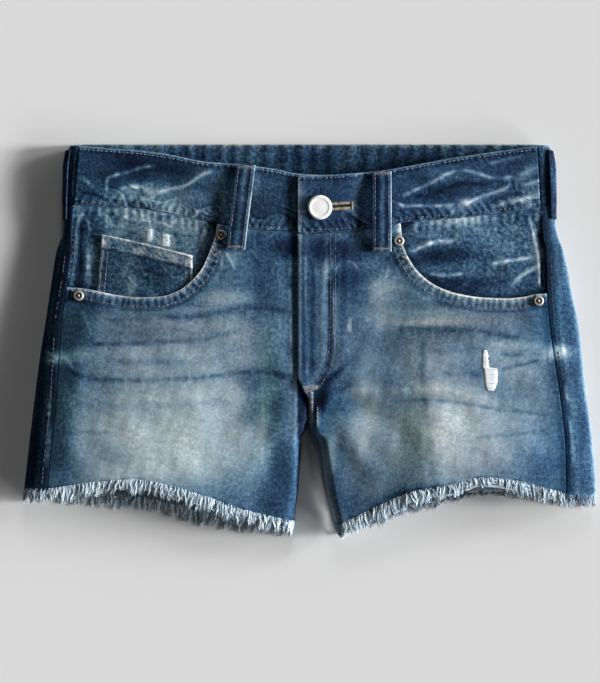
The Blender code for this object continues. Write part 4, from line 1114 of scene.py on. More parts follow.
# Front waistband: the right half ends in a tab with rounded corners
TAB_END = -8.5
TAB_CORNER = 3.5
UNDERLAP = 19.0
BAND_BASE = 0.292
BAND_FADES = table_of(FadeRow, (
    (-120, 108, 10, 30, 6, 0.12, 0.1), (-128, 120, 2, 34, 6, -0.1), (-104, 103.5, 2, 36, 6.5, 0.3, 0.1),
    (-84, 112, 40, 16, 7, 0.01, 0.2), (-160, 114, 30, 12, 8, 0.03, 0.5), (-26, 100, 90, 20, 9, -0.02, 0.7),
    (-62, 108, 90, 18, 4, 0.24), (14, 110, 0, 30, 8, 0.04, -0.2), (20, 86, 0, 30, 8, -0.03, -0.9),
    (-4, 92, 90, 18, 3, 0.26, -0.2), (36, 104, 90, 20, 6, 0.19, -0.5), (66, 112, 20, 12, 8, 0.07),
    (112, 99, 14, 22, 5, 0.1, 0.1), (146, 100, 12, 26, 6, 0.03, 0.2), (154, 120, 30, 16, 5, 0.14, 0.3),
    (104, 110, 12, 26, 5, -0.07, -0.2), (92, 126, 12, 40, 4, 0.04, -0.6), (-89, 94, -6, 20, 5, 0.34),
    (-122, 110, 0, 14, 7, 0.21, 0.1), (-118, 128, -8, 30, 5, -0.18, -0.6), (104, 121, 10, 18, 6, 0.13),
    (108, 96, 8, 26, 4, 0.12), (160, 108, 30, 14, 8, 0.2, 0.2), (-40, 114, 90, 10, 6, 0.21, 0.1),
    (-72, 118, 0, 12, 6, 0.12), (141, 104, 0, 14, 5, 0.09), (-150, 104, 10, 18, 5, 0.04),
    (-11, 100, 90, 12, 3, 0.16), (-129, 107, 0, 8, 5, 0.12),
))


BAND_CELL, BAND_TALL = 0.95, 42  # mesh cell and depth of the waistband
# Shank button and its buttonhole in the tab
BUTTON_X, BUTTON_Y = 7.4, 96.6
HOLE_END_X, HOLE_END_Y = 29.5, 98.2
HOLE_TURN = math.atan2(HOLE_END_Y - BUTTON_Y, HOLE_END_X - BUTTON_X)


def slit_away(x, y):
    """Distance to the slit of the buttonhole."""
    return nearest(x, y, ((BUTTON_X, BUTTON_Y), (HOLE_END_X, HOLE_END_Y)))[0]


def front_band(half):
    s = half.side
    near = TAB_END if s > 0 else -UNDERLAP
    far = half.reach(SIDE_WAIST_Y)
    count = int((far - near) / BAND_CELL)
    u = np.linspace(0, 1, count)
    if s > 0:  # more columns round the tab's corners
        u = np.concatenate([np.linspace(0, 0.024, 8)[:-1], np.linspace(0.024, 1, count)])
    u = u[None, :]
    v = shares_down(int(BAND_TALL / BAND_CELL))
    d = mix(near, far, u)
    high, low = half.line("top", d), half.line("seam", d) + SEAM / 2
    cut = 0.0
    if s > 0:
        gone = np.clip((near + TAB_CORNER - d) / TAB_CORNER, 0, 1)
        cut = TAB_CORNER * (1 - np.sqrt(1 - gone**2))
    y = mix(high - cut, low + cut * 0.5, v)
    x = s * mix(near, half.reach(y), u)
    away = np.minimum(high - y, y - low) + 0 * x
    end = s * x - near
    wear = BAND_BASE + 0.03 * wobble(x, y, 24.0, 17) + spots(BAND_FADES, x, y, "wear", 1.4)
    lines = worn_lines(BAND_LINES, x, y, "wear")
    wear += 1.15 * lines
    tone = np.clip(spots(BAND_FADES, x, y, "tone", 1.2), -1, 1) - np.clip(1.5 * lines, 0, 0.5)
    wear += bell(high - y, 1.2, 0.42) - bell(high - y - 3.0, 1.4, 0.10) + bell(y - low, 0.9, 0.16)
    fine = creases(x * 0.8, y * 1.25, 22.0, 101) + 0.7 * creases(x, y, 13.0, 103)
    fine = fine * (0.35 + 0.65 * smooth((26 - (y - low)) / 12))
    pucker = roping(0.75 * x + 0.5 * s * (y - low), y - low, 10.0)
    wear += 0.07 * roping(x, away, 5.0) + 0.20 * fine + 0.09 * pucker
    rise = 0.12 * roping(x, away, 5.0) - bell(away - 2.0, 1.0, 0.20) + 0.20 * fine + 0.12 * pucker
    if s > 0:
        wear += bell(end, 2.1, 0.42)
        tone = mix(tone, -0.35, bell(end, 2.6))
        hole = slit_away(x, y)
        wear -= bell(hole, 1.2, 0.12)
        rise -= bell(hole, 1.1, 0.25)
    grid = np.stack([x, y, band_height(half, x, y) + rise], -1)
    return shell("waistband_front_" + half.name, grid, BAND, WASHED, wear, tone, flip=s < 0)


def back_band():
    """One gathered piece that lies on the table and folds up at both sides."""
    turns = np.linspace(1, 0.0, 24)[:-1][None, :]
    v = shares_down(30)
    high = back_line("top", 175.0)
    low = back_line("waist", 175.0) + SEAM / 2
    rows = []
    for half in HALVES:
        y = mix(mix(high, 141.6, smooth(turns)), low, v)
        rows.append(fold_point(half, y, turns + 0 * y))
    y_side = mix(BACK_TOP, back_line("waist", 165.0), v)
    left_end = -(LEFT.edge(y_side) - FOLD_FOOT)
    right_end = RIGHT.edge(y_side) - FOLD_FOOT
    x = mix(left_end, right_end, shares_across(300))
    y = mix(back_line("top", np.abs(x)), back_line("waist", np.abs(x)) + SEAM / 2, v)
    fade = smooth((160 - np.abs(x)) / 14)
    shift = x + 1.5 * wobble(x, y * 0.4, 46.0, 61)
    wave = (0.5 - 0.5 * np.cos(2 * math.pi * shift / GATHER_PITCH)) ** 1.6
    z = floor_height(y) + 0.6 * GATHER_DEPTH * wave * fade * mix(1.0, 0.35, v)
    middle = np.stack([x, y, z], -1)
    grid = np.concatenate([rows[0], middle, rows[1][:, ::-1]], axis=1)
    plain = np.zeros(rows[0].shape[:2])
    ribs = np.concatenate([plain, wave * fade, plain], axis=1)
    top = BACK_TOP - grid[..., 1]
    uneven = wobble(grid[..., 0], grid[..., 1], 16.0, 71)
    streaks = smooth(0.5 + 0.5 * wobble(grid[..., 0] * 2.4, grid[..., 1] * 0.5, 30.0, 72))
    wear = 0.20 + 0.10 * smooth((13 - top) / 12) + (0.04 * ribs + 0.12 * streaks) * smooth((30 - top) / 20)
    wear += 0.03 * uneven + bell(top, 1.3, 0.30)
    tone = mix(0.5 * streaks, 0.9, bell(top, 1.8))
    return shell("waistband_back", grid, BAND, DARK, wear, tone, flip=True, bent=True, lined=True)


# Back pieces: they lie on the table and fold up at both sides
BACK_CELL = 1.9  # mesh cell
SEAT_FADES = table_of(FadeRow, (
    (-86, 8, 70, 66, 40, 0.2, 0.1), (86, 8, -70, 66, 40, 0.2, 0.1), (-70, -58, 0, 40, 22, 0.1),
    (70, -58, 0, 40, 22, 0.1), (0, -4, 90, 40, 5, -0.1), (-120, -90, 10, 50, 12, -0.08),
    (120, -90, -10, 50, 12, -0.08), (0, -58, 0, 24, 12, 0.16),
))


def back_inner(half, y):
    """The back's inner edge: the seat seam, then beside the inseam of the leg."""
    beside = half.inner(np.minimum(y - 3, -61.0)) + 1.6
    return mix(SEAM / 2, np.maximum(SEAM / 2, beside), smooth((-49 - y) / 12))


def back_sheet(half, name, upper, lower, fold="tblr"):
    s = half.side
    tall = upper(100.0) - lower(100.0)
    v = shares_down(int(tall / BACK_CELL))
    f = shares_across(78)
    t = np.linspace(0, 1, 26)[None, 1:]
    ends = [float(mix(back_inner(half, line(0.0)), half.edge(line(far)) - FOLD_FOOT, k))
            for line, far in ((upper, 170.0), (lower, 200.0)) for k in (0, 1)]
    y = mix(upper(mix(ends[0], ends[1], f)), lower(mix(ends[2], ends[3], f)), v)
    d = mix(back_inner(half, y), half.edge(y) - FOLD_FOOT, f)
    flat = np.stack([s * d, y, floor_height(y)], -1)
    end = mix(upper(205.0), lower(205.0), v)
    y = mix(y[:, -1:], end, smooth(t / 0.5))
    grid = np.concatenate([flat, fold_point(half, y, t)], axis=1)
    x, y = grid[..., 0], grid[..., 1]
    turn = np.concatenate([0 * f, t], axis=1)
    wear = 0.42 + spots(SEAT_FADES, x, y, "wear", 1.4) + 0.03 * wobble(x, y, 30.0, 19)
    # The side folds that the front shows: dark on the left with painted shade, as that fold faces away from
    # the lamps, and paler on the right
    front = smooth((turn - 0.25) / 0.35)
    shown = 0.17 + 0.10 * smooth((y - 60) / 30) if s < 0 else 0.34 - 0.10 * smooth((y - 20) / 40)
    shown = shown + 0.04 * wobble(x, y, 22.0, 23)
    wear = mix(wear, shown, front)
    wear += bell(turn - 0.48, 0.10, 0.16) * (0.6 + 0.5 * wobble(y, 0 * y, 26.0, 24))
    wear += (spots(SCUFFS, x, y, "wear", 1.5) + worn_lines(SIDE_LINES, x, y, "wear")) * front
    reach = half.edge(y) - half.seam(y)
    off = (1 - turn) * reach * 1.5
    wear += front * (bell(off - 4.0, 1.2, 0.14) - bell(off, 2.2, 0.10))
    # A painted highlight along the right fold's outer edge, which faces the lamps
    if s > 0:
        wear += front * bell(half.edge(y) - s * x, 2.2, 0.24)
    hem = np.abs(y - y[-1:]) if "b" not in fold else 99 + 0 * y
    wear += bell(hem, 1.6, 0.20)
    tone = np.clip(0.2 + 0 * wear + spots(SCUFFS, x, y, "tone", 1.5), -1, 1)
    # The right back's inside gets painted light; the left keeps the darker inside
    material = DENIM_PAINTED_LIGHT_INSIDE if s > 0 else WASHED
    return shell(name, grid, DENIM, material, wear, tone, flip=s > 0, fold=fold, bent=True), grid


def back_yoke(half):
    return back_sheet(half, "back_yoke_" + half.name,
                      lambda d: back_line("waist", d) - SEAM / 2,
                      lambda d: back_line("yoke", d) + SEAM / 2)


def back_panel(half):
    return back_sheet(half, "back_panel_" + half.name,
                      lambda d: back_line("yoke", d) - SEAM / 2,
                      lambda d: half.line("back_hem", d), fold="tlr")


# Back patch pocket, flat between the table and the back panel
POCKET_TOP = ((32.0, 41.0), (88.0, 48.0), (142.0, 54.0))
POCKET_SIDE = ((142.0, 54.0), (141.0, 4.0), (137.5, -44.0))
POCKET_LOW = ((40.0, -48.0), (44.0, -52.0), (88.0, -65.0), (134.0, -48.0), (137.5, -44.0))
POCKET_INNER = ((32.0, 41.0), (36.0, 4.0), (40.0, -48.0))
POCKET_CELL = 2.4  # mesh cell


def along_line(points):
    """A curve that takes shares of a line's length."""
    points = np.array(points, float)
    lengths = lengths_of(points)

    def curve(share):
        return np.stack([np.interp(share * lengths[-1], lengths, points[:, k]) for k in (0, 1)], -1)

    return curve


def back_pocket(half):
    plan = coons(along_line(POCKET_TOP), along_line(POCKET_LOW),
                 along_line(POCKET_INNER), along_line(POCKET_SIDE), POCKET_CELL)
    d, y = plan[..., 0], plan[..., 1]
    grid = np.stack([half.side * d, y, 0 * d + 0.10], -1)
    edge = np.minimum(nearest(d, y, POCKET_INNER + POCKET_LOW[1:])[0], nearest(d, y, POCKET_SIDE)[0])
    mouth = nearest(d, y, POCKET_TOP)[0]
    wear = 0.44 + 0.10 * smooth(edge / 26) + 0.03 * wobble(d, y, 24.0, 43)
    wear += bell(edge, 1.5, 0.24) + bell(mouth, 1.4, 0.28)
    wear -= bell(mouth - 10.5, 1.3, 0.12) + bell(edge - 3.5, 1.5, 0.10)
    name = "back_pocket_" + half.name
    return shell(name, grid, 1.0, WASHED, wear, 0.1 + 0 * wear, flip=half.side > 0)


# Belt loops on the front: top and bottom of the middle of the strap
LoopRow = namedtuple("LoopRow", "x_top y_top x_low y_low")
LOOP_L = LoopRow(-45.7, 127.2, -53.3, 66.2)
LOOP_R = LoopRow(51.8, 122.6, 51.8, 64.8)
LOOP_WIDE = 14.0
LOOP_SLOT = 2.8  # room for a belt at the middle of the loop
SIDE_LOOP_TOP, SIDE_LOOP_LOW = 138.6, 88.6
BACK_LOOP_TOP, BACK_LOOP_LOW, BACK_LOOP_WIDE = 142.4, 88.0, 13.0


def loop_wear_and_highlight(v, w, seed):
    """Wear of a strap by shares down and across, -0.5 to 0.5, with a painted highlight along its right
    edge, which faces the lamps.
    """
    wear = 0.30 + bell(w - 0.5, 0.12, 0.42) + bell(w + 0.5, 0.08, 0.10)
    wear = wear + bell(w - 0.02, 0.10, 0.16) - bell(np.abs(w) - 0.26, 0.09, 0.14)
    wear = wear + 0.16 * (bell(v, 0.03) + bell(1 - v, 0.03))
    uneven = wobble(40 * w, 90 * v, 26.0, seed)
    return wear + 0.06 * uneven - bell(v - 0.12, 0.04, 0.10)


def front_loop(half, row):
    v = shares_down(62)
    w = np.linspace(-0.5, 0.5, 17)[None, :]
    x = mix(row.x_top, row.x_low, v) + w * LOOP_WIDE
    y = mix(row.y_top, row.y_low, v) + 0 * w
    centre = x - w * LOOP_WIDE
    under = band_height(half, centre, y, False) + folds(x, y) - folds(centre, y)
    rest = np.maximum(under, band_height(half, x, y, False))
    slot = 0.35 + LOOP_SLOT * smooth(v / 0.22) * smooth((1 - v) / 0.30)
    rise = bell(w, 0.16, 0.22) - bell(np.abs(w) - 0.34, 0.05, 0.15)
    grid = np.stack([x, y, rest + slot + LOOP + rise], -1)
    wear = loop_wear_and_highlight(v, w, 51 if half.side < 0 else 52)
    tone = np.clip(0.1 * wobble(x, y, 20.0, 53) - 0.1, -1, 1)
    return shell("belt_loop_front_" + half.name, grid, LOOP, WASHED, wear, tone)


def side_loop(half):
    v = shares_down(40)
    turn = np.linspace(0.30, 0.78, 17)[None, :]
    y = mix(SIDE_LOOP_TOP, SIDE_LOOP_LOW, v) + 0 * turn
    lift = 0.35 + 0.9 * smooth(v / 0.3) * smooth((1 - v) / 0.3)
    along = unit(fold_point(half, y, turn + 0.02) - fold_point(half, y, turn - 0.02))
    out = np.stack([half.side * np.abs(along[..., 2]), 0 * y,
                    -along[..., 0] * half.side * np.copysign(1, along[..., 2])], -1)
    grid = fold_point(half, y, turn + 0 * y) + out * (lift + LOOP)[..., None]
    wear = 0.16 + 0.10 * wobble(40 * turn, 90 * v, 26.0, 54) + bell(turn - 0.54, 0.06, 0.12)
    return shell("belt_loop_side_" + half.name, grid, LOOP, DARK, wear, 0 * wear, flip=half.side > 0)


def back_loop():
    v = shares_down(40)
    w = np.linspace(-0.5, 0.5, 15)[None, :]
    x, y = w * BACK_LOOP_WIDE, mix(BACK_LOOP_TOP, BACK_LOOP_LOW, v)
    grid = np.stack(np.broadcast_arrays(x, y, 0.10), -1)
    wear = loop_wear_and_highlight(v, w, 55)
    return shell("belt_loop_back", grid, 1.0, WASHED, wear, 0 * wear, flip=True)


# Sewing

class Surface:
    """The shown face of some cloth pieces, met from above or from below."""

    def __init__(self, *things):
        points, faces = [], []
        for thing in things:
            start = len(points)
            points += [v.co for v in thing.data.vertices]
            faces += [[start + i for i in p.vertices] for p in thing.data.polygons]
        self.tree = BVHTree.FromPolygons(points, faces)

    def meet(self, x, y, below=False):
        """The point and outward direction of the face at a place in plan."""
        start, way = ((x * MM, y * MM, -0.05), (0, 0, 1)) if below else ((x * MM, y * MM, 0.1), (0, 0, -1))
        hit, normal, _index, _far = self.tree.ray_cast(Vector(start), Vector(way))
        if hit is None:
            return None
        if normal.z * way[2] > 0:
            normal = -normal
        return np.array(hit) / MM, np.array(normal)


class Sewing:
    """Collects stitches of one thread and makes them into one piece."""

    def __init__(self, name, material, wide=0.27):
        self.name, self.material, self.wide = name, material, wide
        self.paths, self.ups, self.shades = [], [], []
        self.chance = random.Random(name)

    def stitch(self, surface, a, b, lift=0.14, below=False, fade=1.0, steep=1.5):
        rises = (-0.25, 0.6, 1.0, 0.6, -0.25)
        path, ups = [], []
        for k, rise in enumerate(rises):
            share = k / 4
            met = surface.meet(mix(a[0], b[0], share), mix(a[1], b[1], share), below)
            if met is None:
                return
            point, out = met
            path.append(point + out * rise * lift)
            ups.append(out)
        if max(abs(p[2] - q[2]) for p, q in zip(path, path[1:])) > steep:
            return
        self.paths.append(path)
        self.ups.append(ups)
        self.shades.append(fade * self.chance.uniform(0.25, 0.95))

    def row(self, surface, points, long=2.4, gap=0.75, below=False, skip=0.0, fade=1.0):
        """Stitches along a line, a few of them worn away."""
        line = spline(points, 1.0)
        lengths = lengths_of(line)
        place = self.chance.uniform(0, 1)
        while place + long < lengths[-1]:
            reach = long * self.chance.uniform(0.86, 1.1)
            a, b = ([np.interp(at, lengths, line[:, k]) for k in (0, 1)] for at in (place, place + reach))
            if self.chance.random() >= skip:
                side = self.chance.uniform(-0.10, 0.10)
                self.stitch(surface, (a[0] + side, a[1]), (b[0] + side, b[1]), below=below, fade=fade)
            place += reach + gap

    def tack(self, surface, a, b, wide, pitch=0.5, below=False, steep=1.5):
        """A bar tack: close stitches across a short line."""
        long = math.hypot(b[0] - a[0], b[1] - a[1])
        cross = (-(b[1] - a[1]) / long * wide / 2, (b[0] - a[0]) / long * wide / 2)
        for k in range(int(long / pitch) + 1):
            share = k * pitch / long
            x, y = mix(a[0], b[0], share), mix(a[1], b[1], share)
            uneven = self.chance.uniform(0.85, 1.1)
            slant = 0.2 * (-1) ** k
            self.stitch(surface, (x - cross[0] * uneven + slant * cross[1], y - cross[1] * uneven),
                        (x + cross[0] * uneven, y + cross[1] * uneven), 0.30, below, steep=steep)

    def make(self):
        radii = self.wide * np.array([0.55, 1, 1, 1, 0.55])
        return tubes(self.name, self.paths, np.array(self.ups), radii, self.material, 6, 0.75,
                     np.array(self.shades)[:, None])


def offset(points, away):
    """A line moved sideways, to the left of its direction."""
    points = np.array(points, float)
    along = unit(np.gradient(points, axis=0))
    return points + np.stack([-along[:, 1], along[:, 0]], -1) * away


def border_line(half, column, away, near, far):
    """Points beside one of the lines across the garment."""
    return [(half.side * d, float(half.line(column, d)) + away) for d in np.linspace(near, far, 24)]


def seam_line(half, out, top, low, count):
    """Points beside a side seam."""
    return [(half.side * (float(half.seam(y)) + out), y) for y in np.linspace(top, low, count)]


def strap_line(row, w, shares):
    """Points down a front belt loop, that share of its width off its middle."""
    return [(mix(row.x_top, row.x_low, v) + w * LOOP_WIDE, mix(row.y_top, row.y_low, v)) for v in shares]


def coin_line(places):
    """Points on the coin pocket at pairs of distance and share down."""
    return [(float(x), float(y)) for x, y, _z in (coin_spot(d, v) for d, v in places)]


# Bar tacks at the ends of the front pocket mouths: node, start and end
POCKET_TACKS = (
    ("front_panel_l", (-69.5, 62.5), (-64.6, 65.2)), ("front_panel_r", (70.6, 58.6), (66.2, 61.6)),
    ("front_panel_l", (-171, 36.5), (-166, 37.8)), ("front_panel_r", (162, 33.2), (167, 34.8)),
)


def sew_front(cloth):
    pale = Sewing("front_stitches_pale", PALE_THREAD)
    tan = Sewing("front_stitches_tan", TAN_THREAD)
    gold = Sewing("buttonhole_stitches", GOLD_THREAD, 0.24)
    for half in HALVES:
        s, n = half.side, half.name
        band, panel, facing, loop = (Surface(cloth[stem + n]) for stem in (
            "waistband_front_", "front_panel_", "pocket_facing_", "belt_loop_front_"))
        back = Surface(cloth["back_panel_" + n], cloth["back_yoke_" + n])
        near = -6.0 if s > 0 else -8.0
        far = float(half.seam(SIDE_WAIST_Y)) - 3
        pale.row(band, border_line(half, "top", -2.0, near, far), skip=0.06, fade=0.7)
        tan.row(band, border_line(half, "seam", 2.4, near, far), skip=0.10, fade=0.7)
        row = LOOP_L if s < 0 else LOOP_R
        for w in (-0.34, 0.34):
            tan.row(loop, strap_line(row, w, (0.02, 0.5, 0.98)), skip=0.08, fade=0.8)
        for x, y in strap_line(row, 0, (0.028, 0.965)):
            tan.tack(loop, (x - 5.4, y), (x + 5.4, y), 2.0)
        mouth = mouth_line(half)
        for away in (1.7, 7.0):
            line = offset(mouth, -away if s > 0 else away)[2:-2:3]
            tan.row(panel, line, skip=0.05, fade=0.9)
        # Side seam, sewn down on the back piece
        low = float(half.line("hem", 200)) + 3
        tan.row(back, seam_line(half, 3.6 if s > 0 else 4.4, 62, low, 26), skip=0.25, fade=0.25)
        tan.row(facing, seam_line(half, -2.2, 84, 50, 8), skip=0.2, fade=0.6)
    right = Surface(cloth["front_panel_r"])
    band = Surface(cloth["waistband_front_r"])
    # Tab end and buttonhole
    pale.row(band, ((-6.2, 115.5), (-6.2, 82.0)), skip=0.05)
    ahead = np.array([math.cos(HOLE_TURN), math.sin(HOLE_TURN)])
    over = np.array([-ahead[1], ahead[0]])
    start = np.array([BUTTON_X, BUTTON_Y])
    for k in range(int((HOLE_END_X - 16.2) / 0.5)):
        place = start + ahead * (9.0 + 0.5 * k)
        for side in (-1, 1):
            near, far = place + over * side * 0.85, place + over * side * gold.chance.uniform(2.6, 3.2)
            gold.stitch(band, near, far, 0.30)
    end = start + ahead * (HOLE_END_X - BUTTON_X + 1.2)
    gold.tack(band, end - over * 2.9, end + over * 2.9, 2.0, 0.45)
    # Fly edge, J-shaped fly stitching and crotch seam
    tan.row(right, ((-6.9, 74), (-6.9, 20), (-6.9, -28)), skip=0.10)
    for away in (-1.8, 1.8):
        tan.row(right, offset(spline(FLY_LINE, 4.0), away), skip=0.12, fade=0.45)
    tan.tack(right, (-2.2, -35.0), (3.6, -33.2), 1.8)
    # Worn overcast stitches down to where the legs part
    white = Sewing("crotch_stitches", CROTCH_THREAD, 0.25)
    white.tack(right, (-3.4, -34.2), (5.6, -32.4), 3.0, 0.6, steep=6)
    white.tack(right, (1.2, -36.4), (1.0, -62), 3.0, 0.9, steep=6)
    white.tack(right, (5.6, -47), (5.6, -61), 1.2, 1.3, steep=6)
    # Coin pocket and its hem
    coin = Surface(cloth["coin_pocket"])
    for away in (1.5, COIN_BAND - 1.6):
        line = coin_line((d, away / (read(COIN, "d", "top", d) - read(COIN, "d", "low", d)))
                         for d in np.linspace(86, 148, 12))
        tan.row(coin, line, skip=0.04)
    for d in (COIN[0].d + 1.5, COIN[0].d + 5.0, COIN[-1].d - 1.5, COIN[-1].d - 5.0):
        tan.row(coin, coin_line((d, v) for v in np.linspace(0.24, 0.98, 10)), skip=0.04)
    for node, a, b in POCKET_TACKS:
        tan.tack(Surface(cloth[node]), a, b, 1.8)
    return [pale.make(), tan.make(), white.make(), gold.make()]


# Stitching round a back pocket, from the mouth's inner end to its outer one
POCKET_SEWN = ((33.8, 38.0), (37.8, 4.0), (41.6, -47.4), (45.0, -50.4), (88.0, -63.0),
               (133.2, -46.6), (135.8, -43.4), (139.2, 4.0), (140.2, 50.0))


def sew_back(cloth):
    thread = Sewing("back_stitches_tan", TAN_THREAD)
    band = Surface(cloth["waistband_back"])
    for y in (141.0, 104.2):
        thread.row(band, [(x, y) for x in np.linspace(-158, 158, 20)], below=True)
    loop = Surface(cloth["belt_loop_back"])
    for x in (-4.6, 4.6):
        thread.row(loop, ((x, 141.6), (x, 89.0)), below=True)
    for y in (140.6, 90.4):
        thread.tack(loop, (-5.2, y), (5.2, y), 2.0, below=True)
    for half in HALVES:
        s, n = half.side, half.name
        cloths = Surface(cloth["back_panel_" + n], cloth["back_yoke_" + n])
        for away in (1.8, 7.0):
            line = [(s * d, float(back_line("yoke", d)) + away) for d in np.linspace(1.5, 168, 16)]
            thread.row(cloths, line, below=True, skip=0.04)
        pocket = Surface(cloth["back_pocket_" + n])
        for away in (1.8, 8.0):
            outline = [(s * d, y - away) for d, y in POCKET_TOP]
            thread.row(pocket, outline[::s], below=True)
        for a, b in zip(POCKET_SEWN, POCKET_SEWN[1:]):
            thread.row(pocket, ((s * a[0], a[1]), (s * b[0], b[1])), below=True)
    seat = Surface(cloth["back_panel_r"], cloth["back_yoke_r"])
    for x in (2.0, 7.2):
        thread.row(seat, [(x, y) for y in np.linspace(98, -46, 16)], below=True)
    return thread.make()


# Frayed hems

# Each raw hem: its threads, their seed, shade and sag, and where they are longer or shorter, as
# places along the hem with their width and what is added
FrayRow = namedtuple("FrayRow", "place flip count long seed shade sag extra", defaults=((),))
FRAYS = table_of(FrayRow, (
    ("front_l", True, 1700, 9.4, 81, 0.80, 1.5),
    ("front_r", False, 1600, 9.2, 82, 0.80, 1.5, ((46, 13, 0.30), (120, 22, -0.42))),
    ("back_l", False, 1000, 8.4, 83, 0.80, 0.4),
    ("back_r", True, 520, 7.6, 84, 0.30, 0.4, ((112, 26, -0.55),)),
))


def hem_of(grid, flip):
    """The raw edge of a cloth's outer face, the way out of it in the cloth, and off its face."""
    return grid[-1], unit(grid[-1] - grid[-4]), normals_of(grid, flip)[-1]


def fray(row, grid):
    """Loose threads out of a raw hem."""
    chance = np.random.default_rng(row.seed)
    count = row.count
    edge, out_all, faces = hem_of(grid, row.flip)
    lengths = lengths_of(edge)
    whole = lengths[-1]

    def at(values, place):
        place = np.clip(place, 0.3, whole - 0.3)
        return np.stack([np.interp(place, lengths, values[:, k]) for k in range(3)], -1)

    root = np.sort(chance.uniform(0.5, whole - 0.5, count))
    # Threads gather in uneven tufts, each with its own pull, length, curl and shade
    tufts = np.cumsum(chance.uniform(1.4, 4.6, int(whole / 2.2)))
    which = np.clip(np.searchsorted(tufts, root), 0, len(tufts) - 1)
    pull, long_share, hue, bend = (chance.normal(0, 1, len(tufts))[which] for _k in range(4))
    tip = mix(root, tufts[which] - 1.4, np.clip(chance.normal(0.6, 0.25, count), 0, 1.1))
    tip = tip + 1.2 * pull + chance.normal(0, 0.7, count)
    reach = row.long * chance.uniform(0.5, 1.06, count) * (1 + 0.16 * np.clip(long_share, -2, 1.4))
    for middle, wide, more in row.extra:
        reach = reach * (1 + bell(root - middle, wide, more))
    steps = 7
    t = shares_across(steps)
    swing = (chance.uniform(0.1, 0.8, count) + 0.25 * np.abs(bend))[:, None]
    curl = swing * np.sin(chance.uniform(0.6, 1.5, (count, 1)) * math.tau * t
                          + (bend * 1.5 + chance.normal(0, 0.7, count))[:, None]) * smooth(t / 0.4)
    place = mix(root[:, None], tip[:, None], t**1.3) + curl
    out = unit(at(out_all, np.broadcast_to(root, (count,))))[:, None, :]
    face = at(faces, root)[:, None, :]
    deep = chance.uniform(0.05, 0.95, (count, 1)) * DENIM
    rise = -deep - (row.sag * chance.uniform(0.2, 1.0, (count, 1))) * t**2
    bow = chance.uniform(-0.5, 0.9, (count, 1))
    rise = rise + bow * np.sin(math.pi * t * chance.uniform(0.7, 1.4, (count, 1)))
    way = -1.4 + (reach[:, None] + 1.4) * t
    paths = at(edge, place.ravel()).reshape(count, steps, 3) + out * way[..., None] + face * rise[..., None]
    paths[..., 2] = np.maximum(paths[..., 2], 0.24)
    radii = chance.uniform(0.22, 0.40, (count, 1)) * np.array([1, 1, 1, 1, 0.95, 0.85, 0.55])[None, :]
    shades = row.shade + 0.16 * hue[:, None] + chance.normal(0, 0.12, (count, 1)) + 0.10 * t
    return tubes("fray_" + row.place, paths, (0, 0, 1), radii, FRAY, 4, 1.0, shades)


# Distance of each long hem thread from the cloth
HEM_ROWS = (0.3, 0.8, 1.4, 2.0, 2.7, 3.4, 4.2, 5.0, 5.9)


def hem_wefts(name, grid, flip, seed):
    """Long threads that run along a raw hem, just off the cloth."""
    chance = np.random.default_rng(seed)
    edge, out, faces = hem_of(grid, flip)
    paths, steps = [], 40
    for away in HEM_ROWS:
        start = chance.uniform(0.0, 0.3)
        while start < 0.97:
            end = min(0.995, start + chance.uniform(0.10, 0.34))
            place = np.linspace(start, end, steps) * (len(edge) - 1)
            index = np.clip(place.astype(int), 0, len(edge) - 2)
            part = (place - index)[:, None]
            at = [mix(values[index], values[index + 1], part) for values in (edge, out, faces)]
            wave = away + 0.35 * wobble(place, 0 * place, 26.0, int(away * 100) + seed)
            deep = 0.4 + 0.25 * wobble(place, 0 * place, 18.0, int(away * 90) + seed + 5)
            path = at[0] + at[1] * wave[:, None] - at[2] * deep[:, None]
            path[:, 2] = np.maximum(path[:, 2], 0.3)
            paths.append(path)
            start = end + chance.uniform(0.02, 0.12)
    shades = 0.86 + chance.normal(0, 0.12, (len(paths), 1))
    return tubes(name, paths, (0, 0, 1), 0.26, FRAY, 4, 1.0, shades)


# Bare white weft in a worn slit of the right thigh
SlitRow = namedtuple("SlitRow", "y start end")
SLIT = table_of(SlitRow, (
    (-34.6, 127.2, 132), (-30, 125.6, 134), (-23, 125.2, 134.4), (-19.5, 124.6, 134), (-18, 124.2, 128),
    (-13, 124, 127.6), (-9, 124.2, 127.2), (-6, 125, 126.4),
))
# Two worn spots over the coin pocket
WornRow = namedtuple("WornRow", "x y wide tall")
WORN_SPOTS = table_of(WornRow, ((-115.4, 77.4, 2.5, 4), (-103.8, 73.3, 3.3, 3.8)))


def bare_weft(cloth):
    chance = random.Random(7)
    paths, shades = [], []

    def strand(surface, y, start, end, faint=0.0):
        path = []
        slope = chance.uniform(-0.04, 0.04)
        for k in range(7):
            x = mix(start, end, k / 6)
            met = surface.meet(x, y + slope * (x - start))
            if met is None:
                return
            path.append(met[0] + met[1] * (0.16 if 0 < k < 6 else -0.15))
        paths.append(path)
        shades.append(chance.uniform(0.7, 1.0) - faint)

    thigh = Surface(cloth["front_panel_r"])
    keys, starts, ends = np.array(SLIT, float).T
    y = keys[0]
    while y < keys[-1]:
        start, end = np.interp(y, keys, starts), np.interp(y, keys, ends)
        strand(thigh, y, start - chance.uniform(0, 0.7), end + chance.uniform(0, 0.9))
        y += chance.uniform(0.24, 0.38)
    facing = Surface(cloth["pocket_facing_l"])
    for spot in WORN_SPOTS:
        y = spot.y - spot.tall
        while y < spot.y + spot.tall:
            reach = spot.wide * chance.uniform(0.6, 1.05)
            middle = spot.x + chance.uniform(-0.5, 0.5)
            strand(facing, y, middle - reach, middle + reach, chance.uniform(0.05, 0.65))
            y += chance.uniform(0.42, 0.85)
    return tubes("bare_weft", paths, (0, 0, 1), 0.28, WHITE_THREAD, 4, 0.8, np.array(shades)[:, None])


# Metal

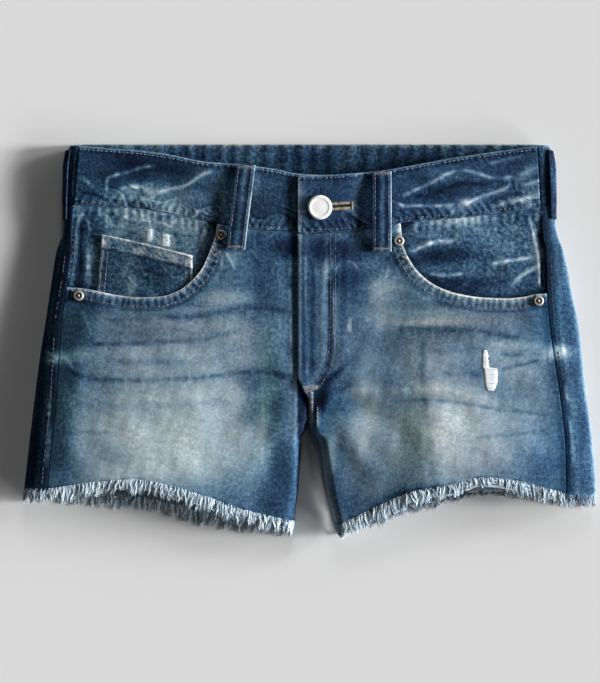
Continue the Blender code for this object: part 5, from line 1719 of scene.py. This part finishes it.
def lathed(name, profile, place, material, steps, lean=(0.0, 0.0)):
    """A round piece from rows of radius, height and shade, from the top's centre to the underside's."""
    profile = np.array(profile, float)
    rows, level = profile[1:-1], profile[:, 2]
    turn = np.arange(steps) * math.tau / steps
    ring = np.stack([rows[:, None, 0] * np.cos(turn), rows[:, None, 0] * np.sin(turn),
                     rows[:, None, 1] + 0 * turn], -1).reshape(-1, 3)
    points = np.concatenate([ring, [(0, 0, profile[0][1]), (0, 0, profile[-1][1])]])
    points[:, 2] = points[:, 2] + lean[0] * points[:, 1] + lean[1] * points[:, 0]
    points += np.array(place)
    index = np.arange(len(rows) * steps).reshape(len(rows), steps)
    after = np.roll(index, -1, axis=1)
    faces = np.stack([index[:-1], index[1:], after[1:], after[:-1]], -1).reshape(-1, 4).tolist()
    top, low = len(ring), len(ring) + 1
    faces += [[top, int(index[0, k]), int(after[0, k])] for k in range(steps)]
    faces += [[low, int(after[-1, k]), int(index[-1, k])] for k in range(steps)]
    shade = np.concatenate([np.repeat(level[1:-1], steps), [level[0], level[-1]]])
    return set_mesh(name, points, faces, material, {"shade": shade})


# Rivet and face of the button, from the middle out: radius, height and shade
RIVET = (
    (0, 1.65, 1), (0.35, 1.62, 0.95), (0.7, 1.45, 0.55), (1, 1.12, 0.1), (1.5, 0.98, 0), (2, 1.12, 0.15),
    (2.5, 1.26, 0.75), (3, 1.24, 0.85), (3.5, 1, 0.6), (3.85, 0.6, 0.35), (3.95, 0.3, 0.1),
    (3.8, 0.05, 0), (3.6, 0, 0.7), (0, 0, 0.7),
)
BUTTON = (
    (0, 2.06, 1), (2, 2.04, 1), (4, 2, 1), (5.6, 1.95, 0.96), (6, 1.97, 0.9), (6.4, 2.06, 0.95),
    (6.9, 2.13, 1), (7.5, 2.14, 1), (8, 2.02, 0.95), (8.5, 1.68, 0.8), (8.8, 1.2, 0.6), (8.66, 0.6, 0.4),
    (8.3, 0.2, 0.3), (7.4, 0, 0.3),
)
RivetRow = namedtuple("RivetRow", "name x y")
RIVETS = table_of(RivetRow, (
    ("rivet_top_l", -63.5, 77), ("rivet_low_l", -166, 33.4), ("rivet_top_r", 64.2, 72.7),
    ("rivet_low_r", 164.6, 29.6),
))
SHANK_R, EYE_R, HOLE_WIDE = 1.9, 2.7, 1.5  # the button's shank, the buttonhole's eye and slit


def rivets():
    made = {}
    for row in RIVETS:
        half = LEFT if row.x < 0 else RIGHT

        def height(across, up):
            return float(panel_height(half, row.x + across, row.y + up))

        slopes = (height(0, 4) - height(0, -4)) / 8, (height(4, 0) - height(-4, 0)) / 8
        made[row.name] = lathed(row.name + "_metal", RIVET, (row.x, row.y, height(0, 0) + 0.4), RIVET_METAL,
                                40, slopes)
    return made


def button():
    under = float(band_height(LEFT, BUTTON_X, BUTTON_Y, False))
    cap = float(band_height(RIGHT, BUTTON_X, BUTTON_Y, False)) + 0.45
    low = under + 0.35
    profile = [(radius, cap + rise, shade) for radius, rise, shade in BUTTON]
    profile += [(SHANK_R, cap, 0.3), (SHANK_R, low, 0.3), (0, low, 0.3)]
    return lathed("button_metal", profile, (BUTTON_X, BUTTON_Y, 0), BUTTON_METAL, 56)


def cut_keyhole(tab):
    """A round eye under the button and a narrow slit through the tab."""
    gap = math.asin(HOLE_WIDE / 2 / EYE_R)
    angles = np.linspace(gap, math.tau - gap, 25)
    outline = [(EYE_R * math.cos(a), EYE_R * math.sin(a)) for a in angles]
    reach = HOLE_END_X - BUTTON_X
    outline += [(reach - 0.3, -HOLE_WIDE / 2), (reach, 0.0), (reach - 0.3, HOLE_WIDE / 2)]
    cos, sin = math.cos(HOLE_TURN), math.sin(HOLE_TURN)
    flat = np.array([(BUTTON_X + x * cos - y * sin, BUTTON_Y + x * sin + y * cos) for x, y in outline])
    count = len(flat)
    points = np.concatenate([np.c_[flat, np.full(count, z)] for z in (5.0, 30.0)])
    faces = [list(range(count))[::-1], list(range(count, 2 * count))]
    faces += [[k, (k + 1) % count, (k + 1) % count + count, k + count] for k in range(count)]
    cutter = set_mesh("keyhole", points, faces, WASHED)
    cut = tab.modifiers.new("Buttonhole", "BOOLEAN")
    cut.object, cut.operation, cut.solver = cutter, "DIFFERENCE", "EXACT"
    bpy.context.view_layer.update()
    made = bpy.data.meshes.new_from_object(tab.evaluated_get(bpy.context.evaluated_depsgraph_get()))
    tab.modifiers.clear()
    tab.data = made
    bpy.data.objects.remove(cutter)


# Each sheet of cloth as far as it shows, laid flat: width, length and area in millimetres, and what
# it lies on where that isn't the table
SheetRow = namedtuple("SheetRow", "node wide long area rests", defaults=((),))
SHEETS = table_of(SheetRow, (
    ("front_panel_l", 197.3, 215.3, 31670, ("back_panel_l",)),
    ("front_panel_r", 192.5, 218.7, 30760, ("back_panel_r",)),
    ("pocket_facing_l", 118, 77, 7390, ("back_panel_l",)),
    ("pocket_facing_r", 115.3, 76, 7140, ("back_panel_r",)),
    ("coin_pocket", 69.2, 47.9, 2640, ("pocket_facing_l",)),
    ("waistband_front_l", 189, 61.6, 8360, ("waistband_back",)),
    ("waistband_front_r", 175.4, 63.3, 7720, ("waistband_front_l", "waistband_back")),
    ("waistband_back", 373.6, 44.3, 16240),
    ("back_yoke_l", 181, 55.9, 7890), ("back_yoke_r", 181.9, 55.9, 8010),
    ("back_panel_l", 205.9, 202.8, 38030), ("back_panel_r", 206.5, 203.8, 38580),
    ("back_pocket_l", 110, 118.9, 10940), ("back_pocket_r", 110, 118.9, 10940),
    ("belt_loop_front_l", 21.6, 61.1, 920, ("waistband_front_l",)),
    ("belt_loop_front_r", 15.3, 57.8, 870, ("waistband_front_r",)),
    ("belt_loop_side_l", 12.9, 50, 630, ("waistband_front_l",)),
    ("belt_loop_side_r", 14, 50, 690, ("waistband_front_r",)),
    ("belt_loop_back", 14, 54.4, 750),
))


def dress():
    cloth, grids = {}, {}
    for half in HALVES:
        n = half.name
        cloth["front_panel_" + n], grids["front_" + n] = front_panel(half)
        cloth["pocket_facing_" + n] = pocket_facing(half)
        cloth["waistband_front_" + n] = front_band(half)
        cloth["back_yoke_" + n], _grid = back_yoke(half)
        cloth["back_panel_" + n], grids["back_" + n] = back_panel(half)
        cloth["back_pocket_" + n] = back_pocket(half)
        cloth["belt_loop_front_" + n] = front_loop(half, LOOP_L if half.side < 0 else LOOP_R)
        cloth["belt_loop_side_" + n] = side_loop(half)
    cloth["coin_pocket"] = coin_pocket()
    cloth["waistband_back"] = back_band()
    cloth["belt_loop_back"] = back_loop()
    cut_keyhole(cloth["waistband_front_r"])

    frays = {"hem_fringe_" + row.place: fray(row, grids[row.place]) for row in FRAYS}
    wefts = [hem_wefts("hem_weft_l", grids["front_l"], True, 91),
             hem_wefts("hem_weft_r", grids["front_r"], False, 92)]
    metals = rivets()
    metals["button"] = button()
    for node, piece in {**cloth, **frays, **metals}.items():
        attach(piece, "root")
        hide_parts(node)
    sewn = sew_front(cloth) + [sew_back(cloth)]
    bare = bare_weft(cloth)
    for piece in sewn + [bare] + wefts:
        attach(piece, "root")
    fringed = {"front_panel_l": [frays["hem_fringe_front_l"], wefts[0]],
               "front_panel_r": [frays["hem_fringe_front_r"], wefts[1], bare],
               "back_panel_l": [frays["hem_fringe_back_l"]], "back_panel_r": [frays["hem_fringe_back_r"]]}
    sheets = {row.node: row for row in SHEETS}
    for node, piece in cloth.items():
        row = sheets[node]
        under = [cloth[below] for below in row.rests]
        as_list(fringed.get(node, []))


# Lamps: degrees from +X to +Y, rise over the table, softness, and share of the light
KeyRow = namedtuple("KeyRow", "turn rise soft share")
KEYS = table_of(KeyRow, (
    (-34, 15, 12, 0.08), (-18, 18, 12, 0.07), (0, 13.5, 12, 0.49), (18, 13, 12, 0.18), (44, 13, 12, 0.035),
    (84, 27, 14, 0.08),
))
KEY_POWER = 2.66
FILL, FILL_TONE = 0.020, (1.0, 0.97, 0.94, 1.0)
FLOOR_REACH, FLOOR_Z = 1500, -0.3
LENS, SENSOR = 100.0, 36.0
EYE = (-0.0068, 0.0004, 1.378)  # metres


def light_and_camera():
    corners = [(x * FLOOR_REACH, y * FLOOR_REACH, FLOOR_Z) for x, y in ((-1, -1), (1, -1), (1, 1), (-1, 1))]
    set_mesh("floor", np.array(corners, float), [[0, 1, 2, 3]], FLOOR)
    # A long low softbox at the right, as a fan of soft distant lamps, and a weak one at the top
    whole = sum(row.share for row in KEYS)
    for k, row in enumerate(KEYS):
        turn, rise = math.radians(row.turn), math.radians(row.rise)
        sun = bpy.data.lights.new("key_%d" % k, "SUN")
        sun.energy = KEY_POWER * row.share / whole / math.sin(rise)
        sun.angle = math.radians(row.soft)
        lamp = placed(sun.name, sun)
        toward = Vector((math.cos(rise) * math.cos(turn), math.cos(rise) * math.sin(turn), math.sin(rise)))
        lamp.rotation_euler = toward.to_track_quat("Z", "Y").to_euler()
    world = bpy.data.worlds.new("fill")
    bpy.context.scene.world = world
    world.use_nodes = True
    backdrop = world.node_tree.nodes["Background"]
    backdrop.inputs["Color"].default_value = FILL_TONE
    backdrop.inputs["Strength"].default_value = FILL
    camera = bpy.data.cameras.new("camera")
    camera.lens, camera.sensor_width = LENS, SENSOR
    eye = placed("camera", camera)
    eye.location = EYE
    bpy.context.scene.camera = eye
    bpy.context.scene.view_settings.view_transform = "Standard"


dress()
light_and_camera()
